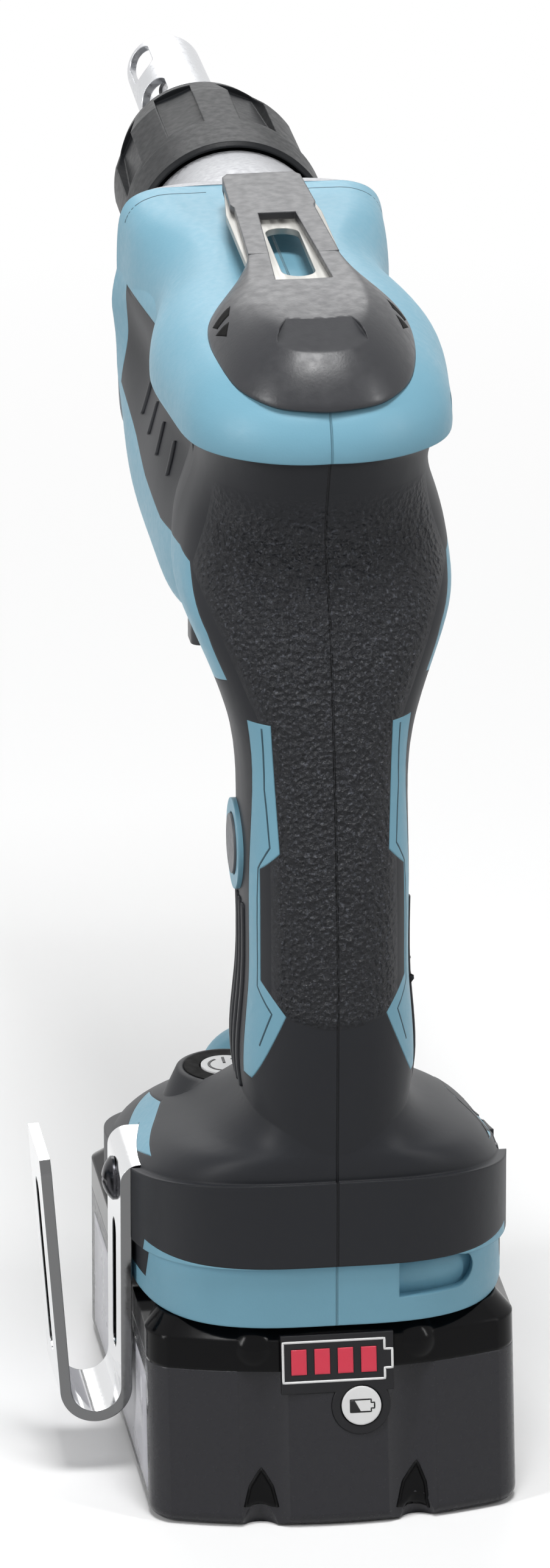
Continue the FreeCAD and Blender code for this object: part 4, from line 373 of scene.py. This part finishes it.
def stepped(spots, step, closed=False):
    """The same line with points about a step apart."""
    line = []
    ends = spots[1:] + spots[:1] if closed else spots[1:]
    for start, end in zip(spots, ends):
        count = max(1, round((end - start).length / step))
        line += [start.lerp(end, index / count) for index in range(count)]
    return line if closed else line + [spots[-1]]


def ring_of(centre, radius_mm, start=0, end=360, count=40):
    """Points round a level circle or along an arc of it, in degrees."""
    turns = [math.radians(start + (end - start) * index / count) for index in range(count + 1)]
    if end - start == 360:
        turns.pop()
    return [centre + (RIGHT * math.cos(turn) + AHEAD * math.sin(turn)) * radius_mm * MM for turn in turns]


# Meshes: joining, cutting and finishing them

def joined(mesh, loops):
    """Join each closed loop of vertices to the next one by faces."""
    for loop, other in zip(loops, loops[1:]):
        for index in range(len(loop)):
            following = (index + 1) % len(loop)
            mesh.faces.new((loop[index], loop[following], other[following], other[index]))


def finished(name, mesh, look, body):
    """Make a smooth piece that rides a body; its slot is the one whose look it has."""
    data = bpy.data.meshes.new(name)
    bmesh.ops.recalc_face_normals(mesh, faces=mesh.faces)
    mesh.to_mesh(data)
    mesh.free()
    for face in data.polygons:
        face.use_smooth = True
    data.materials.append(look.material)
    piece = bpy.data.objects.new(name, data)
    bpy.context.scene.collection.objects.link(piece)
    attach(piece, body)
    return piece


def worked(mesh, kind, **settings):
    """A mesh after a modifier."""
    data = bpy.data.meshes.new("worked")
    mesh.to_mesh(data)
    mesh.free()
    piece = bpy.data.objects.new("worked", data)
    bpy.context.scene.collection.objects.link(piece)
    modifier = piece.modifiers.new(kind, kind)
    for key, setting in settings.items():
        setattr(modifier, key, setting)
    depsgraph = bpy.context.evaluated_depsgraph_get()
    result = bmesh.new()
    result.from_mesh(bpy.data.meshes.new_from_object(piece.evaluated_get(depsgraph)))
    bpy.data.objects.remove(piece)
    return result


def combined(mesh, operation, other):
    """Add one closed mesh to another, or take it away."""
    data = bpy.data.meshes.new("tool")
    other.to_mesh(data)
    other.free()
    tool = bpy.data.objects.new("tool", data)
    bpy.context.scene.collection.objects.link(tool)
    result = worked(mesh, "BOOLEAN", operation=operation, object=tool, solver="EXACT")
    bpy.data.objects.remove(tool)
    return result


def hull(right_half, sides=(1, -1)):
    """Closed convex mesh round points in millimetres, given for the right side and mirrored."""
    mesh = bmesh.new()
    for across, along, up in right_half:
        for side in sides:
            mesh.verts.new(Vector((side * across, along, up)) * MM)
    bmesh.ops.convex_hull(mesh, input=mesh.verts)
    return mesh


# Beads and patches: lines and areas that follow a surface, with their feet sunk into it

FOOT_MM = 0.25
# Section of a bead, in parts of its half width and its height
BEAD_SECTION = ((-1, 0.35), (-0.6, 0.85), (0, 1), (0.6, 0.85), (1, 0.35))


def bead(name, node, spots, look, body="casing", *, width_mm, height_mm, closed=False, step_mm=0.7):
    """A line that follows a surface: a low rounded ridge, or a painted line where it is very low."""
    half, rise, foot = width_mm / 2 * MM, height_mm * MM, FOOT_MM * MM
    ridge = [(across * half, up * rise) for across, up in BEAD_SECTION]
    section = [(-half, -foot), *ridge, (half, -foot)]
    line = [surface(node).find_nearest(spot)[:2] for spot in stepped(spots, step_mm * MM, closed)]
    mesh = bmesh.new()
    rings = []
    for index, (spot, normal) in enumerate(line):
        before = line[index - 1][0] if closed or index else spot
        after = line[(index + 1) % len(line)][0] if closed or index + 1 < len(line) else spot
        side = (after - before).cross(normal).normalized()
        rings.append([mesh.verts.new(spot + side * across + normal * up) for across, up in section])
    joined(mesh, rings + rings[:1] if closed else rings)
    if not closed:
        mesh.faces.new(rings[0])
        mesh.faces.new(rings[-1])
    finished(name, mesh, look, body)


def patch(name, node, corners, look, body="casing", *, height_mm, rings=6, step_mm=1.0):
    """A thin plate or a painted area that follows a surface inside an outline."""
    edge = stepped(corners, step_mm * MM, closed=True)
    middle = sum(edge, Vector()) / len(edge)
    mesh = bmesh.new()

    def lifted(spot, rise):
        on, normal = surface(node).find_nearest(spot)[:2]
        return mesh.verts.new(on + normal * rise * MM)

    loops = [[lifted(spot, -FOOT_MM) for spot in edge]]
    for ring in range(rings):
        loops.append([lifted(spot.lerp(middle, ring / rings), height_mm) for spot in edge])
    joined(mesh, loops)
    top = lifted(middle, height_mm)
    for index in range(len(edge)):
        mesh.faces.new((loops[-1][index], loops[-1][(index + 1) % len(edge)], top))
    finished(name, mesh, look, body)


# Gauge on the battery's back: frame round the bars, and a sign on the round button

# Up along the battery's leaning back, and straight out of it
BACK_UP = Vector((0, 0.15943, 0.98721))
BACK_OUT = Vector((0, -0.98721, 0.15943))
# The frame's distance from the bars at the sides and at the ends, and its lug
FRAME_ASIDE, FRAME_ABOVE = 1.7, 1.5
LUG_LENGTH, LUG_HALF = 1.6, 2
# A small battery: its left end, its right end, the end of its lug, its half height and its lug's
SIGN_LEFT, SIGN_RIGHT, SIGN_LUG = -2.3, 2.0, 2.7
SIGN_HALF, SIGN_LUG_HALF = 1.3, 0.6
# Where the sign's charge ends, at the foot and at the top
LEVEL_FOOT, LEVEL_TOP = -0.1, -1.5


def on_back(node, spots, out_mm):
    """Points before a node on the battery's back: across and up from its middle, in millimetres."""
    low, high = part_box(node)
    middle = (Vector(low) + Vector(high)) / 2 + BACK_OUT * out_mm * MM
    return [middle + RIGHT * across * MM + BACK_UP * up * MM for across, up in spots]


def battery_outline(left, right, half, lug_end, lug_half):
    return ((left, -half), (right, -half), (right, -lug_half), (lug_end, -lug_half),
            (lug_end, lug_half), (right, lug_half), (right, half), (left, half))


def gauge_details():
    low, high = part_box("gauge_bars")
    wide = (high[0] - low[0]) / 2 / MM + FRAME_ASIDE
    tall = (high[2] - low[2]) / 2 / MM + FRAME_ABOVE
    border = battery_outline(-wide, wide, tall, wide + LUG_LENGTH, LUG_HALF)
    line = on_back("gauge_bars", border, out_mm=2)
    bead("gauge_frame", "gauge_panel", line, WHITE_PAINT, "battery",
         width_mm=0.5, height_mm=0.08, closed=True, step_mm=0.4)

    border = battery_outline(SIGN_LEFT, SIGN_RIGHT, SIGN_HALF, SIGN_LUG, SIGN_LUG_HALF)
    line = on_back("check_button", border, out_mm=4)
    bead("check_sign_frame", "check_button", line, BLACK_PAINT, "check",
         width_mm=0.32, height_mm=0.05, closed=True, step_mm=0.3)
    charge = ((SIGN_LEFT, -SIGN_HALF), (LEVEL_FOOT, -SIGN_HALF),
              (LEVEL_TOP, SIGN_HALF), (SIGN_LEFT, SIGN_HALF))
    outline = on_back("check_button", charge, out_mm=4)
    patch("check_sign_level", "check_button", outline, BLACK_PAINT, "check",
          height_mm=0.05, rings=3, step_mm=0.4)


gauge_details()


# Mode button: plain sign of an open ring and a bar

SIGN_RADIUS = 3.3
SIGN_ARC = (120, 420)
SIGN_BAR = (0.6, 3.9)


def mode_details():
    low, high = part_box("mode_button")
    centre = Vector(((low[0] + high[0]) / 2, (low[1] + high[1]) / 2, high[2]))
    strokes = {
        "ring": ring_of(centre, SIGN_RADIUS, *SIGN_ARC),
        "bar": [centre + AHEAD * along * MM for along in SIGN_BAR],
    }
    for name, line in strokes.items():
        bead(f"mode_sign_{name}", "mode_button", line, BLACK_PAINT, "mode",
             width_mm=0.6, height_mm=0.05, step_mm=0.4)


mode_details()


# Engraved line inside the edge of each teal strip on the handle, drawn as a dark line of painted shade

STRIP_LINE = points((-14.3, -48.4, 171.0), (-13.6, -49.0, 158), (-13.0, -51.8, 146.2), (-15.2, -49.3, 141.0),
                    (-15.4, -50.0, 115.4), (-13.0, -54.6, 110.8), (-15.2, -52.0, 103.0))
for side, line in both_sides(STRIP_LINE):
    bead(f"strip_line_{side}", f"housing_{side}", line, GROOVE_SHADE_TEAL, width_mm=0.45, height_mm=0.03)


# Ribs: across the finger groove under the rim, and down the sides of the handle

GROOVE_RIBS = (43, 30, 17, 5)
for index, along in enumerate(GROOVE_RIBS):
    rib = points((-27, along + 2, 214.5), (-27, along, 211), (-27, along - 1.5, 208))
    for side, line in both_sides(rib):
        bead(f"groove_rib_{side}_{index}", f"grip_{side}", line, LOOKS["soft_black"],
             width_mm=1.8, height_mm=0.5)

HANDLE_RIBS = (-41, -37, -33, -29)
for index, along in enumerate(HANDLE_RIBS):
    rib = points((-18, along, 130), (-18, along, 90))
    for side, line in both_sides(rib):
        bead(f"handle_rib_{side}_{index}", f"grip_{side}", line, LOOKS["soft_black"],
             width_mm=2.2, height_mm=0.55)


# Clip cover: the strip of the CAD cover, and a dome with soft facets that widens out of it

CLIP_TOP = 253.6
DOME_FRONT = 8.7
# Rows from the foot to the top; each has the right half of its outline, from the front to the back
DOME_ROWS = (
    ((0, DOME_FRONT, 245), (9.4, DOME_FRONT, 245), (15.8, 0, 244.5), (22.4, -9.5, 242.2),
     (22, -24, 240.2), (20, -38.5, 238), (12, -48.4, 236), (0, -50.2, 235.6)),
    ((0, DOME_FRONT, 248), (9.4, DOME_FRONT, 248), (15.2, -0.5, 247.5), (21.2, -10.5, 246),
     (20.8, -24, 244.2), (18.8, -37, 242), (11.2, -46.2, 240.2), (0, -47.8, 239.8)),
    ((0, DOME_FRONT, 251.5), (9.4, DOME_FRONT, 251.5), (13.2, -1.5, 251), (17.2, -12, 250.4),
     (17.2, -23.5, 249.2), (15.4, -34.5, 247.2), (9.2, -42.8, 245.6), (0, -44, 245.2)),
    ((0, DOME_FRONT, 253.4), (9.3, DOME_FRONT, 253.4), (10.9, -2.5, 253.2), (12.4, -13, 252.9),
     (12.4, -22, 252.3), (10.8, -30.5, 251.4), (6.6, -37.4, 250.2), (0, -38.4, 250)),
    ((0, DOME_FRONT, CLIP_TOP), (8.8, DOME_FRONT, CLIP_TOP), (9.8, -3, CLIP_TOP), (10.6, -13, CLIP_TOP),
     (10.2, -21, 253.4), (8.8, -28, 252.9), (5.2, -32.8, 252.3), (0, -33.6, 252.1)),
)
# Corners of the thumb recess and of the window over the steel strip
RECESS = ((6.2, -28.4, 258), (6.2, -28.4, 252.7), (8.8, -33, 249.9), (11.6, -52, 246.2), (11.6, -52, 258))
WINDOW = ((3.9, 34, 245.6), (3.9, 34, 258), (5.9, -8, 245.6), (5.9, -8, 258))
# Corners of the room that the dome takes from the CAD cover
BEHIND_STRIP = ((30, 8.2, 220), (30, 8.2, 270), (30, -70, 220), (30, -70, 270))
BESIDE_STRIP = [(across, along, up) for across in (9.45, 30) for along in (0, 17) for up in (230, 260)]

DOME_ROUNDING = 3
SHARP_EDGE = math.radians(28)
# Faces that are upright or level by the height of their normal, and stay flat
UPRIGHT, LEVEL = 0.002, 0.9995


def dome_mesh():
    """The rows joined by faces and rounded; only the front wall under the strip keeps its edges."""
    mesh = bmesh.new()
    loops = []
    for row in DOME_ROWS:
        ring = list(row) + [(-across, along, up) for across, along, up in reversed(row[1:-1])]
        loops.append([mesh.verts.new(Vector(spot) * MM) for spot in ring])
    joined(mesh, loops)
    mesh.faces.new(loops[0])
    mesh.faces.new(loops[-1])
    bmesh.ops.recalc_face_normals(mesh, faces=mesh.faces)
    crease = mesh.edges.layers.float.new("crease_edge")
    for edge in mesh.edges:
        if all(vertex.co.y > (DOME_FRONT - 0.5) * MM for vertex in edge.verts):
            edge[crease] = 1
    return worked(mesh, "SUBSURF", levels=DOME_ROUNDING, render_levels=DOME_ROUNDING)


def clip_shell():
    mesh = bmesh.new()
    mesh.from_mesh(nodes["clip_cover"].data)
    bmesh.ops.remove_doubles(mesh, verts=mesh.verts, dist=0.001 * MM)
    mesh = combined(mesh, "DIFFERENCE", hull(BEHIND_STRIP))
    for side in (1, -1):
        mesh = combined(mesh, "DIFFERENCE", hull(BESIDE_STRIP, (side,)))
    dome = combined(dome_mesh(), "DIFFERENCE", hull(RECESS))
    mesh = combined(mesh, "UNION", dome)
    mesh = combined(mesh, "DIFFERENCE", hull(WINDOW))
    shell = finished("clip_shell", mesh, LOOKS["black_plastic"], "casing")
    shell.data.set_sharp_from_angle(angle=SHARP_EDGE)
    for face in shell.data.polygons:
        face.use_smooth = UPRIGHT < abs(face.normal.z) < LEVEL
    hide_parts("clip_cover")
    SURFACES["clip_shell"] = BVHTree.FromObject(shell, bpy.context.evaluated_depsgraph_get())


clip_shell()


# Vents in the sides of the clip's cover, by their corners' pixels in the photograph, drawn as flat deep
# black patches of painted shadow

VENTS = (
    ((349, 539), (357, 541), (376, 518), (378, 503), (369, 511)),
    ((354, 552), (372, 553), (376, 529), (367, 536)),
)
for index, corners in enumerate(VENTS):
    for side, outline in both_sides(seen("clip_shell", *corners)):
        patch(f"vent_shade_{side}_{index}", "clip_shell", outline, DEEP_BLACK,
              height_mm=0.04, rings=3, step_mm=0.6)


# Dark line of painted shade behind the front edge of the casing's top

FRONT_LINE = points((-26, 70.5, 240), (-21, 70.5, 245.5), (-10, 70.5, 247))
for side, line in both_sides(FRONT_LINE):
    bead(f"front_line_{side}", f"housing_{side}", line, GROOVE_SHADE_TEAL, width_mm=0.4, height_mm=0.03)


# Bare label on the battery's left side

LABEL = points((-38.2, -50, 4), (-38.2, 40, 4), (-38.2, 40, 29), (-38.2, -48, 29))
patch("battery_label", "battery_case", LABEL, LABEL_GREY, "battery", height_mm=0.08, rings=4, step_mm=2)


# Floor of the slot in the base's band, a wall's thickness behind its face

SLOT_ENDS = (9, 36)
SLOT_LOW, SLOT_HIGH = 45.4, 57.5
SLOT_SINK = 2.4
SLOT_FLOOR = 0.8
# Height at which the face is whole, and a place behind the object to look at it from
WALL_HEIGHT = 44
FAR_BEHIND = -90


def slot_floor():
    near, far = SLOT_SINK * MM, (SLOT_SINK + SLOT_FLOOR) * MM
    low, high = SLOT_LOW * MM, SLOT_HIGH * MM
    mesh = bmesh.new()
    columns = []
    for across in range(*SLOT_ENDS):
        start = Vector((across, FAR_BEHIND, WALL_HEIGHT)) * MM
        wall = surface("housing_right").ray_cast(start, AHEAD)[0]
        corners = ((near, low), (near, high), (far, high), (far, low))
        columns.append([mesh.verts.new((wall.x, wall.y + sink, up)) for sink, up in corners])
    joined(mesh, columns)
    mesh.faces.new(columns[0])
    mesh.faces.new(columns[-1])
    finished("slot_floor", mesh, LOOKS["teal_shell"], "casing")


slot_floor()


# Soft collar that brings the base's skin up to the mode button's ring

# How far each of its rows lies outside the ring and under the ring's top; the outermost is in the skin
COLLAR_ROWS = ((-0.2, 1.5), (0.05, 0.15), (0.7, 0.1), (1.6, 0.5), (4.5, None))
COLLAR_FOOT = 0.3 * MM
COLLAR_STEPS = 56
ROOM_ABOVE = 20 * MM


def mode_collar():
    low, high = (Vector(corner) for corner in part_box("mode_panel"))
    middle = (low + high) / 2
    radius = (high.x - low.x) / 2 / MM
    mesh = bmesh.new()
    loops = []
    for out, drop in COLLAR_ROWS:
        loop = []
        for spot in ring_of(middle, radius + out, count=COLLAR_STEPS):
            start = Vector((spot.x, spot.y, high.z + ROOM_ABOVE))
            skin = surface("grip_left").ray_cast(start, -UP)[0]
            lowest = (skin.z if skin else low.z) - COLLAR_FOOT
            up = lowest if drop is None else max(lowest, high.z - drop * MM)
            loop.append(mesh.verts.new((spot.x, spot.y, up)))
        loops.append(loop)
    joined(mesh, loops)
    finished("mode_collar", mesh, LOOKS["soft_black"], "casing")


mode_collar()


# Soft skin over the right flank of the base, where the photograph shows no panel

# Corners along and up; the outline stands off the casing, so that it finds the outer wall
FLANK = ((-40, 74.6), (-7, 75.6), (15, 69), (-8, 63.2))
FLANK_BESIDE = 60
FLANK_OFF = 4 * MM


def flank_skin():
    corners = points(*((FLANK_BESIDE, along, up) for along, up in FLANK))
    edge = stepped(corners, 2 * MM, closed=True)
    hits = [surface("housing_right").ray_cast(spot, -RIGHT)[:2] for spot in edge]
    outline = [spot + normal * FLANK_OFF for spot, normal in hits if spot]
    patch("right_flank_skin", "housing_right", outline, LOOKS["soft_black"],
          height_mm=0.12, rings=8, step_mm=1.2)


flank_skin()


# Pointed hollows at the foot of the battery's back, by their corners' pixels in the photograph: each is a
# flat patch of darker gloss black, painted shade in place of the hollow's depth, inside a raised rim

HOLLOWS = (
    ((403, 2476), (411, 2442), (429, 2413), (447, 2442), (456, 2476)),
    ((653, 2476), (662, 2434), (684, 2400), (698, 2434), (704, 2476)),
)
for index, corners in enumerate(HOLLOWS):
    outline = seen("battery_case", *corners)
    patch(f"hollow_{index}", "battery_case", outline, LOOKS["battery_gloss"], "battery",
          height_mm=0.05, rings=4)
    bead(f"hollow_edge_{index}", "battery_case", outline, LOOKS["battery_gloss"], "battery",
         width_mm=0.7, height_mm=0.3)


# Studio: pale floor, white surround and soft lamps

WHITE = (1, 1, 1, 1)
WORLD_LIGHT = 0.12
FLOOR_SIZE = 12
# Distances from the object between which the floor turns into the white surround
FLOOR_FADE = (0.3, 0.75)
LAMP_AIM = (0, 0, 0.14)
# Place, size in metres and power in watts
LAMPS = {
    "left_box": ((-1.5, -0.7, 0.9), (0.16, 1.0), 13),
    "right_box": ((1.3, -0.8, 0.9), (0.12, 1.0), 7),
    "top_box": ((0.0, -0.3, 1.6), (0.5, 0.5), 17),
    "back_box": ((0.0, 1.5, 1.0), (1.2, 0.6), 7),
}


def shown_rays(tree):
    """One for rays from the camera, off mirrors and through glass; nought for light thrown on things."""
    path = tree.nodes.new("ShaderNodeLightPath")
    shown = path.outputs["Is Camera Ray"]
    for ray in ("Is Glossy Ray", "Is Transmission Ray"):
        either = tree.nodes.new("ShaderNodeMath")
        either.operation = "MAXIMUM"
        tree.links.new(shown, either.inputs[0])
        tree.links.new(path.outputs[ray], either.inputs[1])
        shown = either.outputs[0]
    return shown


def blended(tree, factor, first, second, output):
    """Send a mix of two shaders to an output: the first where the factor is nought."""
    mix = tree.nodes.new("ShaderNodeMixShader")
    tree.links.new(factor, mix.inputs["Fac"])
    tree.links.new(first.outputs[0], mix.inputs[1])
    tree.links.new(second.outputs[0], mix.inputs[2])
    tree.links.new(mix.outputs[0], output)


def white_world():
    """Plain white to look at, and a low even light on the object."""
    world = bpy.data.worlds.new("studio")
    bpy.context.scene.world = world
    world.use_nodes = True
    tree = world.node_tree
    light = tree.nodes["Background"]
    light.inputs["Color"].default_value = WHITE
    light.inputs["Strength"].default_value = WORLD_LIGHT
    white = tree.nodes.new("ShaderNodeBackground")
    white.inputs["Color"].default_value = WHITE
    blended(tree, shown_rays(tree), light, white, tree.nodes["World Output"].inputs["Surface"])


def floor_look():
    """Pale to the camera and in reflections; darker where it throws light back under the object."""
    look = Look("floor", (0.95, 0.95, 0.95), 0.7, specular=0.2)
    shown = shown_rays(look.tree)
    look.vary(shown, darker=0.55, lighter=1.0)
    squares = [look.math("MULTIPLY", look.axis(letter), look.axis(letter)) for letter in "XY"]
    away = look.math("SQRT", look.math("ADD", *squares))
    faded = look.math("MULTIPLY", look.ramp(away, *FLOOR_FADE), shown)
    white = look.add("ShaderNodeEmission")
    blended(look.tree, faded, look.shader, white, look.tree.nodes["Material Output"].inputs["Surface"])
    return look


def soft_lamp(name, spot, size, power):
    data = bpy.data.lights.new(name, "AREA")
    data.shape = "RECTANGLE"
    data.size, data.size_y = size
    data.energy = power
    lamp = bpy.data.objects.new(name, data)
    lamp.location = spot
    lamp.rotation_euler = (Vector(LAMP_AIM) - Vector(spot)).to_track_quat("-Z", "Y").to_euler()
    bpy.context.scene.collection.objects.link(lamp)


def studio():
    white_world()
    bpy.ops.mesh.primitive_plane_add(size=FLOOR_SIZE)
    floor = bpy.context.object
    floor.name = "floor"
    floor.data.materials.append(floor_look().material)
    for name, (spot, size, power) in LAMPS.items():
        soft_lamp(name, spot, size, power)


photo_camera()
studio()
bpy.context.scene.view_settings.view_transform = "Standard"
